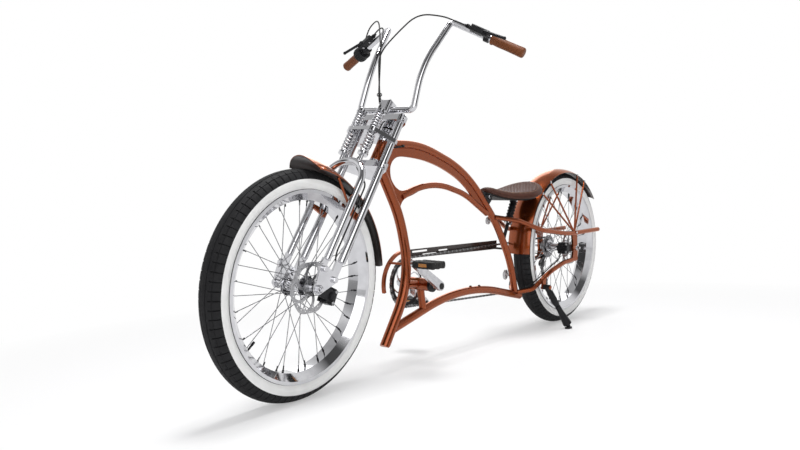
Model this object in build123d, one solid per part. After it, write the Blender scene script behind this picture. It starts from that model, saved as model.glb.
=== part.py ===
from build123d import *
import os
from math import asin, atan2, cos, degrees, hypot, pi, radians, sin, sqrt

# A stretch cruiser bicycle with a springer fork, parked on its side stand.
# It is drawn upright in millimetres: X forward from the rear axle, Y to the rider's left, Z up from
# the ground.  At the end the fork is turned to its parked angle and the whole bicycle is leaned over
# until both tyres and the foot of the stand touch the ground.

# Stance
WHEELBASE = 1608
PARKED_LEAN = 4.0
PARKED_STEER = 4.0

# Wheels
TYRE_R = 345
TYRE_CROWN_R = 43.5
TYRE_WALL = 5
TYRE_H = 65.5
RIM_FLANGE_H = 7
RIM_HALF_W = 40
RIM_DEPTH = 21.5
RIM_WELL_HALF_W = 20
RIM_WALL = 3.2
SPOKES = 36
SPOKE_R = 1.2
SPOKE_CROSS_TURN = 62
SPOKE_SEAT = 0.3
SPOKE_LAY_OUT = 1.5
SPOKE_LAY_IN = 0.2
HUB_BODY_R = 17
HUB_STEP = 4
HUB_FLANGE_R = 34
HUB_FLANGE_T = 4
AXLE_R = 6
RUN_GAP = 0.05
SEAT_GAP = 0.3
ROTOR_R = 80
ROTOR_T = 2
ROTOR_BAND = 16
ROTOR_WAVE = 2.5
ROTOR_LOBES = 6
ROTOR_HOLE_R = 2.6
CABLE_R = 2.5

# Front end
HEAD_ANGLE = 57.5
AXLE_OFFSET = 104
LEG_OFFSET = 50
FRONT_LEG_OFFSET = 112
LEG_HALF_GAP = 78
REAR_LEG_R = 13
FRONT_LEG_R = 11
REAR_LEG_BOTTOM = 112
LEG_TOP = 640
FRONT_LEG_BOTTOM = 92
ARCH_TOP = 437
STEERER_R = 14.3
HEAD_R = 22
HEAD_BOTTOM = 470
HEAD_TOP = 624
CROWN_T = 22
CROWN_GAP = 2
PERCH_S = 543
PERCH_T = 14
ROD_HALF_GAP = 40
ROD_R = 6
SPRING_R = 13
SPRING_WIRE_R = 2.6
SPRING_COLLAR_S = 468
SPRING_TOP_S = 622
SPRING_TURNS = 6
ROCKER_T = 8
ROCKER_Y = 84
LUG_T = 8
FRONT_HUB_HALF = 62
FRONT_FLANGE_Y = 36
FRONT_ROTOR_Y = 52
BAR_R = 11.1
GRIP_R = 16.5
GRIP_L = 118
GRIP_CAP = 4
LEVER_INSET = 26
LEVER_CLAMP_L = 16
LEVER_CLAMP_T = 6
LEVER_BODY_L = 66
LEVER_BODY_W = 24
LEVER_BODY_H = 22
LEVER_REACH = 37
LEVER_FLARE = 18
LEVER_L = 92
LEVER_R = 5
SHIFTER_L = 34
SHIFTER_R = 26
CLAMP_L = 46
CLAMP_W = 52
CLAMP_ROUND = 14
CLAMP_RISE = 26

# Main frame
TOP_TUBE_R = 14.5
DOWN_TUBE_R = 17.5
LOWER_TUBE_R = 15
RIB_R = 11
PLATE_T = 8
STAY_R = 10
STAY_Y = 88
BB_BACK = 590
BB_DROP = 61
BB_R = 22
BB_HALF_W = 50
CUP_R = 24
CUP_T = 9
STRUT_R = 13
SPINDLE_R = 12
DROPOUT_T = 8
REAR_HUB_HALF = 79
REAR_FLANGE_Y = 40
REAR_ROTOR_Y = 62
AXLE_STUB = 25
FRONT_AXLE_STUB = 18
AXLE_NUT_T = 9

# Drivetrain
PITCH = 12.7
CHAIN_LINE_Y = -62
RING_TEETH = 44
COG_TEETH = (28, 24, 22, 20, 18, 16, 13)
CHAIN_COG_TEETH = 20
COG_SPACING = 5
COG_T = 1.6
COG_CARRIER_R = 20
PULLEY_TEETH = 11
CHAIN_H = 8.4
CHAIN_W = 6.6
TOOTH_GAP = 0.6
RING_T = 3
RING_BAND = 12
RING_BOSS_R = 28
RING_ARMS = 6
RING_ARM_W = 7
CRANK_L = 170
CRANK_ANGLE = 33
CRANK_IN_Y = 82
CRANK_T = 15
CRANK_W = 24
PEDAL_L = 68
PEDAL_W = 92
PEDAL_H = 24
PEDAL_AXLE_R = 7
PEDAL_ROUND = 8
GUARD_Y = -75
GUARD_T = 3
GUARD_IN_R = 107
GUARD_OUT_R = 117
GUARD_POST_R = 4.5
HOOP_W = 12
HOOP_START = -14

# Fenders
FENDER_GAP = 12
FENDER_HALF_W = 52
FENDER_DROP = 16
FENDER_T = 2
FENDER_STAY_R = 4
FENDER_BRACE_P = 80
FENDER_BRACE_Y = 66
FENDER_BRACE_S = 268

# Saddle
SADDLE_HALF_W = 115
SADDLE_NOSE_R = 34
SADDLE_T = 26
PAN_T = 6
HINGE_W = 18
SADDLE_STRUT_R = 7
SADDLE_SPRING_R = 13

# Stand, its pivot below axle height and its foot on the ground
STAND_PIVOT_X = 274
STAND_PIVOT_Y = 84
STAND_PIVOT_DROP = 149
STAND_FOOT = (186, 156)
STAND_PIN_R = 5
STAND_PIN_L = 28
STAND_PIN_HEAD = 4
STAND_BRACKET_T = 8
STAND_LEG_R = 9
STAND_SLEEVE_T = 3
STAND_PAD_L = 34
STAND_PAD_W = 24
STAND_PAD_T = 8

nodes = {}
bodies = {"frame": [], "steering": [], "front_wheel": [], "rear_wheel": [], "crankset": [],
          "pedal_left": [], "pedal_right": [], "stand": []}


def keep(body, name, shape):
    bodies[body].append(name)
    nodes[name] = shape


def rod(a, b, r):
    a, b = Vector(*a), Vector(*b)
    return Plane(a, z_dir=b - a) * Cylinder(r, (b - a).length, align=(Align.CENTER, Align.CENTER, Align.MIN))


def bent_tube(points, radii, r):
    path = FilletPolyline(*points, radius=radii)
    return sweep(Plane(path @ 0, z_dir=path % 0) * Circle(r), path=path)


def lift(face, t):
    return extrude(face, t, dir=(0, 0, 1))


def side_plate(face, y_low, y_high):
    """A plate parallel to the bicycle's plane, from a face drawn in x and z."""
    return Pos(0, y_high, 0) * (Plane.XZ * lift(face, y_high - y_low))


def slab(points, y_low, y_high):
    return side_plate(make_face(Polyline(*points, close=True)), y_low, y_high)


def across(x, z, y_low, y_high, r):
    """A round bar that lies across the bicycle."""
    return rod((x, y_low, z), (x, y_high, z), r)


def turned(profile):
    """A ring about the Y axis from its section in radius and width."""
    return revolve(make_face(Polyline(*profile, close=True)), Axis.Y)


def both_sides(part):
    return part, mirror(part, Plane.XZ)


def group(parts):
    """Several solids of one node."""
    return Compound([solid for part in parts for solid in part.solids()])


def loop(circles):
    """The face inside a band round circles (x, y, radius), taken anticlockwise; a negative one turns back."""
    following = circles[1:] + circles[:1]
    leave = [atan2(y2 - y, x2 - x) - asin((r2 - r) / hypot(x2 - x, y2 - y))
             for (x, y, r), (x2, y2, r2) in zip(circles, following)]
    arcs = []
    for (x, y, r), start, end in zip(circles, leave[-1:] + leave[:-1], leave):
        turn = (end - start) % (2 * pi) if r > 0 else -((start - end) % (2 * pi))
        arcs.append([(x + r * sin(a), y - r * cos(a)) for a in (start, start + turn / 2, start + turn)])
    edges = [ThreePointArc(*arc) for arc in arcs]
    edges += [Line(arc[2], after[0]) for arc, after in zip(arcs, arcs[1:] + arcs[:1])]
    return make_face(Wire(edges))


def polar(r, angle):
    return r * cos(radians(angle)), r * sin(radians(angle))


def swirl(r_in, r_out, lean, width):
    """A curved arm between two radii that leans over by an angle."""
    return trace(ThreePointArc((r_in, 0), polar((r_in + r_out) / 2, lean * 0.3), polar(r_out, lean)), width)


def pitch_radius(teeth):
    return PITCH / 2 / sin(pi / teeth)


# Steering frame: s runs up the steering axis and p forward from it, both from the foot of the
# perpendicular that the front axle drops on the axis.
UP = Vector(-cos(radians(HEAD_ANGLE)), 0, sin(radians(HEAD_ANGLE)))
FORWARD = Vector(sin(radians(HEAD_ANGLE)), 0, cos(radians(HEAD_ANGLE)))
AXLE_Z = TYRE_R
FRONT_AXLE = Vector(WHEELBASE, 0, AXLE_Z)
STEER_FOOT = FRONT_AXLE - FORWARD * AXLE_OFFSET
STEER_PLANE = Plane(STEER_FOOT, x_dir=FORWARD, z_dir=UP)


def steer_point(p, y, s):
    return STEER_FOOT + FORWARD * p + Vector(0, y, 0) + UP * s


# Wheels, drawn about the origin and then set on their axles
TYRE_CENTRE_R = TYRE_R - TYRE_CROWN_R
RIM_SEAT_R = TYRE_R - TYRE_H
RIM_WELL_R = RIM_SEAT_R - RIM_DEPTH
RIM_FLANGE_R = RIM_SEAT_R + RIM_FLANGE_H
BEAD_Y = RIM_HALF_W - RIM_WALL - SEAT_GAP


def tyre():
    seat = RIM_SEAT_R + SEAT_GAP
    inner = TYRE_CROWN_R - TYRE_WALL
    bead_in = BEAD_Y - TYRE_WALL
    outside = [
        Line((seat, BEAD_Y), (RIM_FLANGE_R, BEAD_Y)),
        Line((RIM_FLANGE_R, BEAD_Y), (TYRE_CENTRE_R, TYRE_CROWN_R)),
        ThreePointArc((TYRE_CENTRE_R, TYRE_CROWN_R), (TYRE_R, 0), (TYRE_CENTRE_R, -TYRE_CROWN_R)),
        Line((TYRE_CENTRE_R, -TYRE_CROWN_R), (RIM_FLANGE_R, -BEAD_Y)),
        Line((RIM_FLANGE_R, -BEAD_Y), (seat, -BEAD_Y)),
    ]
    inside = [
        Line((seat, -BEAD_Y), (seat, -bead_in)),
        Line((seat, -bead_in), (TYRE_CENTRE_R, -inner)),
        ThreePointArc((TYRE_CENTRE_R, -inner), (TYRE_CENTRE_R + inner, 0), (TYRE_CENTRE_R, inner)),
        Line((TYRE_CENTRE_R, inner), (seat, bead_in)),
        Line((seat, bead_in), (seat, BEAD_Y)),
    ]
    return revolve(make_face(Wire(outside + inside)), Axis.Y)


def rim():
    half = [
        (RIM_FLANGE_R, RIM_HALF_W),
        (RIM_SEAT_R - RIM_WALL, RIM_HALF_W),
        (RIM_WELL_R - RIM_WALL, RIM_WELL_HALF_W),
    ]
    upper = [
        (RIM_WELL_R, RIM_WELL_HALF_W - RIM_WALL / 2),
        (RIM_SEAT_R, RIM_HALF_W - RIM_WALL - TYRE_WALL),
        (RIM_SEAT_R, RIM_HALF_W - RIM_WALL),
        (RIM_FLANGE_R, RIM_HALF_W - RIM_WALL),
    ]
    right = [(r, -w) for r, w in reversed(half)]
    right_upper = [(r, -w) for r, w in reversed(upper)]
    return turned(half + right + right_upper + upper)


def hub(half_length, flange_y):
    half = [
        (AXLE_R + RUN_GAP, half_length),
        (HUB_BODY_R - HUB_STEP, half_length),
        (HUB_BODY_R - HUB_STEP, flange_y + HUB_FLANGE_T),
        (HUB_BODY_R + 3, flange_y + HUB_FLANGE_T / 2),
        (HUB_FLANGE_R, flange_y + HUB_FLANGE_T / 2),
        (HUB_FLANGE_R, flange_y - HUB_FLANGE_T / 2),
        (HUB_BODY_R + 3, flange_y - HUB_FLANGE_T / 2),
        (HUB_BODY_R, flange_y - HUB_FLANGE_T - 6),
    ]
    return turned(half + [(r, -w) for r, w in reversed(half)])


def spokes(flange_y):
    """Crossed spokes: alternate ones lie on the outer and inner face of each flange."""
    hub_r = HUB_FLANGE_R - 5
    rim_r = RIM_WELL_R - RIM_WALL - SPOKE_SEAT
    wires = []
    for i in range(SPOKES):
        side = 1 if i % 2 else -1
        lead = 1 if (i // 2) % 2 else -1
        rim_turn = radians(360 * i / SPOKES)
        hub_turn = rim_turn + lead * radians(SPOKE_CROSS_TURN)
        lay = SPOKE_LAY_OUT if side == lead else SPOKE_LAY_IN
        y_hub = side * flange_y + lead * (HUB_FLANGE_T / 2 + SPOKE_R + lay)
        y_rim = side * RIM_WELL_HALF_W * 0.4 + lead * SPOKE_R * 1.5
        hub_end = (hub_r * cos(hub_turn), y_hub, hub_r * sin(hub_turn))
        rim_end = (rim_r * cos(rim_turn), y_rim, rim_r * sin(rim_turn))
        wires.append(rod(hub_end, rim_end, SPOKE_R))
    return wires


def rotor(y):
    """A drilled brake disc with a waved rim on curved arms, with its carrier on the hub."""
    mean = ROTOR_R - ROTOR_WAVE
    edge = [polar(mean + ROTOR_WAVE * cos(radians(a * ROTOR_LOBES)), a) for a in range(0, 360, 10)]
    band = make_face(Spline(*edge, periodic=True)) - Circle(ROTOR_R - ROTOR_BAND)
    holes = PolarLocations(ROTOR_R - ROTOR_BAND / 2 - ROTOR_WAVE, 4 * ROTOR_LOBES) * Circle(ROTOR_HOLE_R)
    arms = [Rot(Z=360 * i / ROTOR_LOBES) * swirl(HUB_BODY_R + 4, ROTOR_R - ROTOR_BAND + 3, 35, 9)
            for i in range(ROTOR_LOBES)]
    carrier = Circle(HUB_BODY_R + 8)
    bore = Circle(HUB_BODY_R - HUB_STEP + SEAT_GAP)
    disc = band - holes + arms + carrier - bore
    return side_plate(disc, y - ROTOR_T / 2, y + ROTOR_T / 2)


def cassette():
    """Seven cogs on one carrier, the largest nearest the wheel, the chain's own on the chain line."""
    bore = HUB_BODY_R - HUB_STEP + SEAT_GAP
    chain_cog = COG_TEETH.index(CHAIN_COG_TEETH)
    places = [CHAIN_LINE_Y - COG_SPACING * (i - chain_cog) for i in range(len(COG_TEETH))]
    body = turned([(bore, places[0]), (COG_CARRIER_R, places[0]), (COG_CARRIER_R, places[-1]), (bore, places[-1])])
    for teeth, y in zip(COG_TEETH, places):
        tip = pitch_radius(teeth) - CHAIN_H / 2 - TOOTH_GAP
        low, high = y - COG_T / 2, y + COG_T / 2
        body += turned([(bore, high), (tip, high), (tip, low), (bore, low)])
    return body


for wheel, half_length, flange_y, rotor_y, place in (
    ("front", FRONT_HUB_HALF, FRONT_FLANGE_Y, FRONT_ROTOR_Y, Pos(FRONT_AXLE)),
    ("rear", REAR_HUB_HALF, REAR_FLANGE_Y, REAR_ROTOR_Y, Pos(0, 0, AXLE_Z)),
):
    body = wheel + "_wheel"
    keep(body, wheel + "_tyre", place * tyre())
    keep(body, wheel + "_rim", place * rim())
    keep(body, wheel + "_hub", place * hub(half_length, flange_y))
    keep(body, wheel + "_spokes", place * group(spokes(flange_y)))
    keep(body, wheel + "_rotor", place * rotor(rotor_y))

keep("rear_wheel", "cassette", Pos(0, 0, AXLE_Z) * cassette())

# Springer fork
LEG_ROUND = ARCH_TOP - LEG_HALF_GAP
LUG_IN_Y = ROCKER_Y - ROCKER_T / 2 - SEAT_GAP - LUG_T
FRONT_PIVOT = (118, 60)
REAR_PIVOT = (61, 52)
PIVOT_R = 6

head_solid = rod(steer_point(0, 0, HEAD_BOTTOM), steer_point(0, 0, HEAD_TOP), HEAD_R)
head_bore = rod(steer_point(0, 0, HEAD_BOTTOM - 1), steer_point(0, 0, HEAD_TOP + 1), STEERER_R + RUN_GAP)
keep("frame", "head_tube", head_solid - head_bore)

LOWER_CROWN_S = HEAD_BOTTOM - CROWN_GAP - CROWN_T
UPPER_CROWN_S = HEAD_TOP + CROWN_GAP
CROWN_TOP_S = UPPER_CROWN_S + CROWN_T


def steer_slab(outline, s, t):
    """A plate square to the steering axis, from its outline in p and y."""
    return STEER_PLANE * Pos(0, 0, s) * lift(outline, t)


def crown(s):
    boss_r = REAR_LEG_R + 6
    outline = loop([(LEG_OFFSET, LEG_HALF_GAP, boss_r), (0, 0, HEAD_R), (LEG_OFFSET, -LEG_HALF_GAP, boss_r)])
    outline -= Circle(STEERER_R + RUN_GAP)
    for side in (1, -1):
        outline -= Pos(LEG_OFFSET, side * LEG_HALF_GAP) * Circle(REAR_LEG_R + RUN_GAP)
    return steer_slab(outline, s, CROWN_T)


steerer = rod(steer_point(0, 0, LOWER_CROWN_S), steer_point(0, 0, CROWN_TOP_S), STEERER_R)
keep("steering", "fork_crowns", group([crown(LOWER_CROWN_S), crown(UPPER_CROWN_S), steerer]))


def lug(p, leg_bottom, pivot, side):
    """The flattened end of a leg, from the tube down to its rocker pivot."""
    y_low, y_high = sorted((side * LUG_IN_Y, side * (LUG_IN_Y + LUG_T)))
    pivot_p, pivot_s = pivot
    eye = rod(steer_point(pivot_p, y_low, pivot_s), steer_point(pivot_p, y_high, pivot_s), PIVOT_R + 6)
    flat = steer_slab(Pos((p + pivot_p) / 2, (y_low + y_high) / 2) * Rectangle(18 + abs(p - pivot_p), LUG_T),
                      pivot_s, leg_bottom - pivot_s)
    hole = rod(steer_point(pivot_p, y_low - 1, pivot_s), steer_point(pivot_p, y_high + 1, pivot_s), PIVOT_R + RUN_GAP)
    return eye + flat - hole


rear_legs = []
for side in (1, -1):
    y = side * LEG_HALF_GAP
    leg = rod(steer_point(LEG_OFFSET, y, REAR_LEG_BOTTOM), steer_point(LEG_OFFSET, y, LEG_TOP + 8), REAR_LEG_R)
    rear_legs.append(leg + lug(LEG_OFFSET, REAR_LEG_BOTTOM, REAR_PIVOT, side))
keep("steering", "fork_rear_legs", group(rear_legs))

u_path = [steer_point(FRONT_LEG_OFFSET, LEG_HALF_GAP, FRONT_LEG_BOTTOM),
          steer_point(FRONT_LEG_OFFSET, LEG_HALF_GAP, LEG_ROUND),
          steer_point(FRONT_LEG_OFFSET, 0, ARCH_TOP),
          steer_point(FRONT_LEG_OFFSET, -LEG_HALF_GAP, LEG_ROUND),
          steer_point(FRONT_LEG_OFFSET, -LEG_HALF_GAP, FRONT_LEG_BOTTOM)]
u_wire = Wire([Line(u_path[0], u_path[1]), ThreePointArc(u_path[1], u_path[2], u_path[3]), Line(u_path[3], u_path[4])])
front_legs = sweep(Plane(u_wire @ 0, z_dir=u_wire % 0) * Circle(FRONT_LEG_R), path=u_wire)
for side in (1, -1):
    front_legs += lug(FRONT_LEG_OFFSET, FRONT_LEG_BOTTOM, FRONT_PIVOT, side)
keep("steering", "fork_front_legs", front_legs)

ROD_FOOT_S = LEG_ROUND + sqrt(LEG_HALF_GAP ** 2 - ROD_HALF_GAP ** 2)
rods = []
for side in (1, -1):
    y = side * ROD_HALF_GAP
    guide = None
    for s_low, s_high, r in (
        (ROD_FOOT_S, SPRING_TOP_S + 18, ROD_R),
        (SPRING_COLLAR_S - 8, SPRING_COLLAR_S, SPRING_R + 4),
        (SPRING_TOP_S, SPRING_TOP_S + 8, SPRING_R + 4),
    ):
        piece = rod(steer_point(FRONT_LEG_OFFSET, y, s_low), steer_point(FRONT_LEG_OFFSET, y, s_high), r)
        guide = piece if guide is None else guide + piece
    rods.append(guide - front_legs)
keep("steering", "spring_rods", group(rods))


def spring(y, s_low, s_high):
    reach = SPRING_WIRE_R + SEAT_GAP
    height = s_high - s_low - 2 * reach
    coil = Helix(height / SPRING_TURNS, height, SPRING_R)
    wire = sweep(Plane(coil @ 0, z_dir=coil % 0) * Circle(SPRING_WIRE_R), path=coil, is_frenet=True)
    return STEER_PLANE * Pos(FRONT_LEG_OFFSET, y, s_low + reach) * wire


springs = []
for side in (1, -1):
    for s_low, s_high in ((SPRING_COLLAR_S, PERCH_S), (PERCH_S + PERCH_T, SPRING_TOP_S)):
        springs.append(spring(side * ROD_HALF_GAP, s_low, s_high))
keep("steering", "fork_springs", group(springs))

perch_outline = loop([
    (FRONT_LEG_OFFSET, -ROD_HALF_GAP, SPRING_R + 7),
    (FRONT_LEG_OFFSET, ROD_HALF_GAP, SPRING_R + 7),
    (LEG_OFFSET, LEG_HALF_GAP, REAR_LEG_R + 5),
    (LEG_OFFSET, -LEG_HALF_GAP, REAR_LEG_R + 5),
])
for side in (1, -1):
    perch_outline -= Pos(LEG_OFFSET, side * LEG_HALF_GAP) * Circle(REAR_LEG_R + RUN_GAP)
    perch_outline -= Pos(FRONT_LEG_OFFSET, side * ROD_HALF_GAP) * Circle(ROD_R + SEAT_GAP)
perch_outline -= Pos(0, 0) * Circle(HEAD_R + 8)
perch_outline -= Pos(LEG_OFFSET / 2, 0) * Rectangle(LEG_OFFSET, 2 * (LEG_HALF_GAP - REAR_LEG_R - 12))
keep("steering", "spring_perch", steer_slab(perch_outline, PERCH_S, PERCH_T))

rocker_outline = loop([(AXLE_OFFSET, 0, 17), (*FRONT_PIVOT, 15), (*REAR_PIVOT, 14)])
for p, s, r in ((*FRONT_PIVOT, PIVOT_R), (*REAR_PIVOT, PIVOT_R), (AXLE_OFFSET, 0, AXLE_R)):
    rocker_outline -= Pos(p, s) * Circle(r + RUN_GAP)
rockers = []
pins = []
SIDE_PLANE = Plane(STEER_FOOT, x_dir=FORWARD, z_dir=Vector(0, -1, 0))
for side in (1, -1):
    y_low = side * ROCKER_Y - ROCKER_T / 2
    rockers.append(SIDE_PLANE * Pos(0, 0, -y_low - ROCKER_T) * lift(rocker_outline, ROCKER_T))
    for p, s in (FRONT_PIVOT, REAR_PIVOT):
        y_in, y_out = side * LUG_IN_Y, side * (ROCKER_Y + ROCKER_T / 2)
        pin = rod(steer_point(p, y_in, s), steer_point(p, y_out, s), PIVOT_R)
        pin_head = rod(steer_point(p, y_out, s), steer_point(p, y_out + side * 6, s), PIVOT_R + 3)
        pins.append(pin + pin_head)
keep("steering", "fork_rockers", group(rockers + pins))


def axle(x, plate_y, plate_t, hub_half, stub):
    """A wheel axle with a nut outside and a spacer inside each plate that holds it."""
    end_y = plate_y + stub
    bar = across(x, AXLE_Z, -end_y, end_y, AXLE_R)
    for side in (1, -1):
        face, back = side * (plate_y + plate_t / 2), side * (plate_y - plate_t / 2)
        bar += rod((x, face, AXLE_Z), (x, face + side * AXLE_NUT_T, AXLE_Z), AXLE_R + 5)
        bar += rod((x, side * (hub_half + SEAT_GAP), AXLE_Z), (x, back, AXLE_Z), AXLE_R + 4)
    return bar


keep("steering", "front_axle", axle(WHEELBASE, ROCKER_Y, ROCKER_T, FRONT_HUB_HALF, FRONT_AXLE_STUB))

# Handlebar: base bar, risers that sweep back, and grip runs that fall outwards
BAR_BASE_S = CROWN_TOP_S + 28
bar_base = steer_point(LEG_OFFSET + 2, 0, BAR_BASE_S)
BASE_HALF = 112
bar_half = [
    (bar_base.X, BASE_HALF, bar_base.Z),
    (bar_base.X - 50, BASE_HALF - 4, bar_base.Z + 147),
    (bar_base.X - 180, BASE_HALF + 21, bar_base.Z + 308),
    (bar_base.X - 233, BASE_HALF + 268, bar_base.Z + 193),
]
bar_points = [(x, -y, z) for x, y, z in reversed(bar_half)] + bar_half
keep("steering", "handlebar", bent_tube(bar_points, [14, 420, 16, 16, 420, 14], BAR_R))

BAR_END = Vector(*bar_half[3])
GRIP_DIR = (BAR_END - Vector(*bar_half[2])).normalized()
grip_start = BAR_END - GRIP_DIR * GRIP_L


def grip(length):
    start = BAR_END - GRIP_DIR * length
    return rod(start, BAR_END + GRIP_DIR * GRIP_CAP, GRIP_R) - rod(start, BAR_END, BAR_R + RUN_GAP)


left_grip = grip(GRIP_L)
right_grip = mirror(grip(GRIP_L - SHIFTER_L - SEAT_GAP), Plane.XZ)
keep("steering", "grips", group([left_grip, right_grip]))

# Brake levers: a clamp inside each grip, a body ahead of the bar and a blade ahead of the grip
LEVER_AHEAD = Vector(0.9, 0, 0.436)
lever_place = grip_start - GRIP_DIR * LEVER_INSET
lever_frame = Plane(lever_place, x_dir=LEVER_AHEAD, z_dir=GRIP_DIR)
bar_bore = rod(lever_place - GRIP_DIR * LEVER_BODY_L, BAR_END, BAR_R + RUN_GAP)
lever = rod(lever_place, lever_place + GRIP_DIR * LEVER_CLAMP_L, BAR_R + LEVER_CLAMP_T)
body_centre = Pos(BAR_R + LEVER_BODY_W / 2, 0, LEVER_CLAMP_L - LEVER_BODY_L / 2)
body = Box(LEVER_BODY_W, LEVER_BODY_H, LEVER_BODY_L)
lever += lever_frame * body_centre * fillet(body.edges().filter_by(Axis.Z), LEVER_R)
lever_root = lever_place + GRIP_DIR * (LEVER_CLAMP_L / 2)
lever_knee = lever_root + LEVER_AHEAD * LEVER_REACH
lever_tip = lever_knee + GRIP_DIR * LEVER_L + LEVER_AHEAD * LEVER_FLARE
lever += rod(lever_root, lever_knee + LEVER_AHEAD * LEVER_R, LEVER_R + 2)
lever += rod(lever_knee, lever_tip, LEVER_R) + Pos(lever_tip) * Sphere(LEVER_R + 1)
keep("steering", "brake_levers", group(both_sides(lever - bar_bore)))

# Shifter: a twist drum between the right lever and the shorter right grip
shifter = rod(grip_start, grip_start + GRIP_DIR * SHIFTER_L, SHIFTER_R) - bar_bore
keep("steering", "shifter", mirror(shifter, Plane.XZ))

# Bar clamp: a rounded block on the upper crown
clamp_face = Pos(LEG_OFFSET + 2, 0) * RectangleRounded(CLAMP_L, CLAMP_W, CLAMP_ROUND)
clamp = steer_slab(clamp_face, CROWN_TOP_S, BAR_BASE_S - CROWN_TOP_S + CLAMP_RISE)
clamp -= rod((bar_base.X, -CLAMP_W, bar_base.Z), (bar_base.X, CLAMP_W, bar_base.Z), BAR_R + RUN_GAP)
keep("steering", "bar_clamp", clamp)

# Main frame: paths in x from the rear axle and z from axle height, so that they follow both wheels
BB_X = WHEELBASE - BB_BACK
BB_Z = AXLE_Z - BB_DROP
BB_CENTRE = Vector(BB_X, 0, BB_Z)


def back(x, z):
    """A point of the frame behind the front axle."""
    return WHEELBASE - x, AXLE_Z + z


def along(share, z):
    """A point of the frame at a share of the wheelbase."""
    return WHEELBASE * share, AXLE_Z + z


def ahead(x, z):
    """A point of the frame ahead of the rear axle."""
    return x, AXLE_Z + z


top_path = [back(390, 430), along(0.634, 435), along(0.46, 345), along(0.3234, 135), along(0.255, -35),
            along(0.2307, -177)]
TOP_BENDS = [520, 600, 700, 450]
down_path = [back(363, 375), back(478, 185), back(520, 25), back(496, -100), back(396, -255)]
lower_path = [back(443, -200), along(0.4633, -93), along(0.2102, -186)]
rib_path = [back(490, 251), along(0.597, 310), along(0.46, 255), along(0.3669, 175)]


def plane_tube(path, radii, r):
    return bent_tube([(x, 0, z) for x, z in path], radii, r)


top_full = plane_tube(top_path, TOP_BENDS, TOP_TUBE_R)
down_full = plane_tube(down_path, [450, 280, 300], DOWN_TUBE_R)
lower_full = plane_tube(lower_path, [1000], LOWER_TUBE_R)
rib_full = plane_tube(rib_path, [420, 420], RIB_R)

spur_low = back(308, -283)
spur_high = back(708, -160)
spur_cut = slab([spur_low, spur_high, (spur_high[0], -AXLE_Z), (spur_low[0], -AXLE_Z)], -STAY_Y, STAY_Y)
keep("frame", "down_tube", down_full - head_solid - spur_cut)
keep("frame", "lower_tube", lower_full - down_full)
keep("frame", "top_tube", top_full - head_solid - lower_full)
keep("frame", "rib_tube", rib_full - down_full - top_full)

plate_outline = [back(393, 431), back(588, 431), along(0.546, 391), along(0.46, 323), along(0.4303, 251),
                 along(0.4888, 292), along(0.5466, 336), back(642, 367), back(558, 386), back(479, 390),
                 back(446, 380), back(428, 355), back(430, 319), back(451, 290), back(496, 259), back(468, 215),
                 back(403, 315), back(368, 377)]
plate = slab(plate_outline, -PLATE_T / 2, PLATE_T / 2)
keep("frame", "gusset_plate", plate - head_solid - top_full - down_full - rib_full)

bb_shell_solid = across(BB_X, BB_Z, -BB_HALF_W, BB_HALF_W, BB_R)
spindle_hole = across(BB_X, BB_Z, -BB_HALF_W - 20, BB_HALF_W + 20, SPINDLE_R + RUN_GAP)
keep("frame", "bottom_bracket", bb_shell_solid - spindle_hole)
cup = across(BB_X, BB_Z, BB_HALF_W, BB_HALF_W + CUP_T, CUP_R) - spindle_hole
keep("frame", "bracket_cups", group(both_sides(cup)))
bracket_post = rod(BB_CENTRE, BB_CENTRE + Vector(90, 0, 8), STRUT_R) - bb_shell_solid - down_full
bracket_strut = rod(BB_CENTRE, BB_CENTRE + Vector(-16, 0, -100), STRUT_R) - bb_shell_solid - lower_full
keep("frame", "bracket_struts", group([bracket_post, bracket_strut]))


def spread(points):
    """Points of a stay from rows of place in the bicycle's plane and distance to the side."""
    return [(x, y, z) for (x, z), y in points]


upper_half = spread([(along(0.3408, 159), 10), (along(0.2674, 141), 52), (ahead(300, 96), STAY_Y - 2),
                     (ahead(60, 66), STAY_Y), (ahead(-235, 72), STAY_Y)])
lower_half = spread([(along(0.2313, -167), 10), (ahead(318, -157), 54), (ahead(225, -90), STAY_Y - 4),
                     (ahead(110, -59), STAY_Y), (ahead(6, -51), STAY_Y)])
upper_left, upper_right = both_sides(bent_tube(upper_half, [180, 260, 900], STAY_R))
lower_left, lower_right = both_sides(bent_tube(lower_half, [60, 110, 220], STAY_R))
keep("frame", "upper_stays", group([stay - top_full for stay in (upper_left, upper_right)]))
keep("frame", "lower_stays", group([stay - top_full - lower_full for stay in (lower_left, lower_right)]))

dropout_outline = [ahead(-14, 67), ahead(34, 69), ahead(24, 27), ahead(20, -15), ahead(30, -53), ahead(0, -61),
                   ahead(-20, -57), ahead(-22, -15), ahead(-16, 27)]
drop_solid = slab(dropout_outline, STAY_Y - DROPOUT_T / 2, STAY_Y + DROPOUT_T / 2)
drop_solid -= across(0, AXLE_Z, 0, 2 * STAY_Y, AXLE_R + RUN_GAP)
keep("frame", "dropouts", group(both_sides(drop_solid - upper_left - lower_left)))
keep("frame", "rear_axle", axle(0, STAY_Y, DROPOUT_T, REAR_HUB_HALF, AXLE_STUB))

# Fenders: an arched band about each wheel, with its stays
FENDER_R = TYRE_R + FENDER_GAP
FENDER_ARCH_R = (FENDER_HALF_W ** 2 + FENDER_DROP ** 2) / 2 / FENDER_DROP


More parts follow.
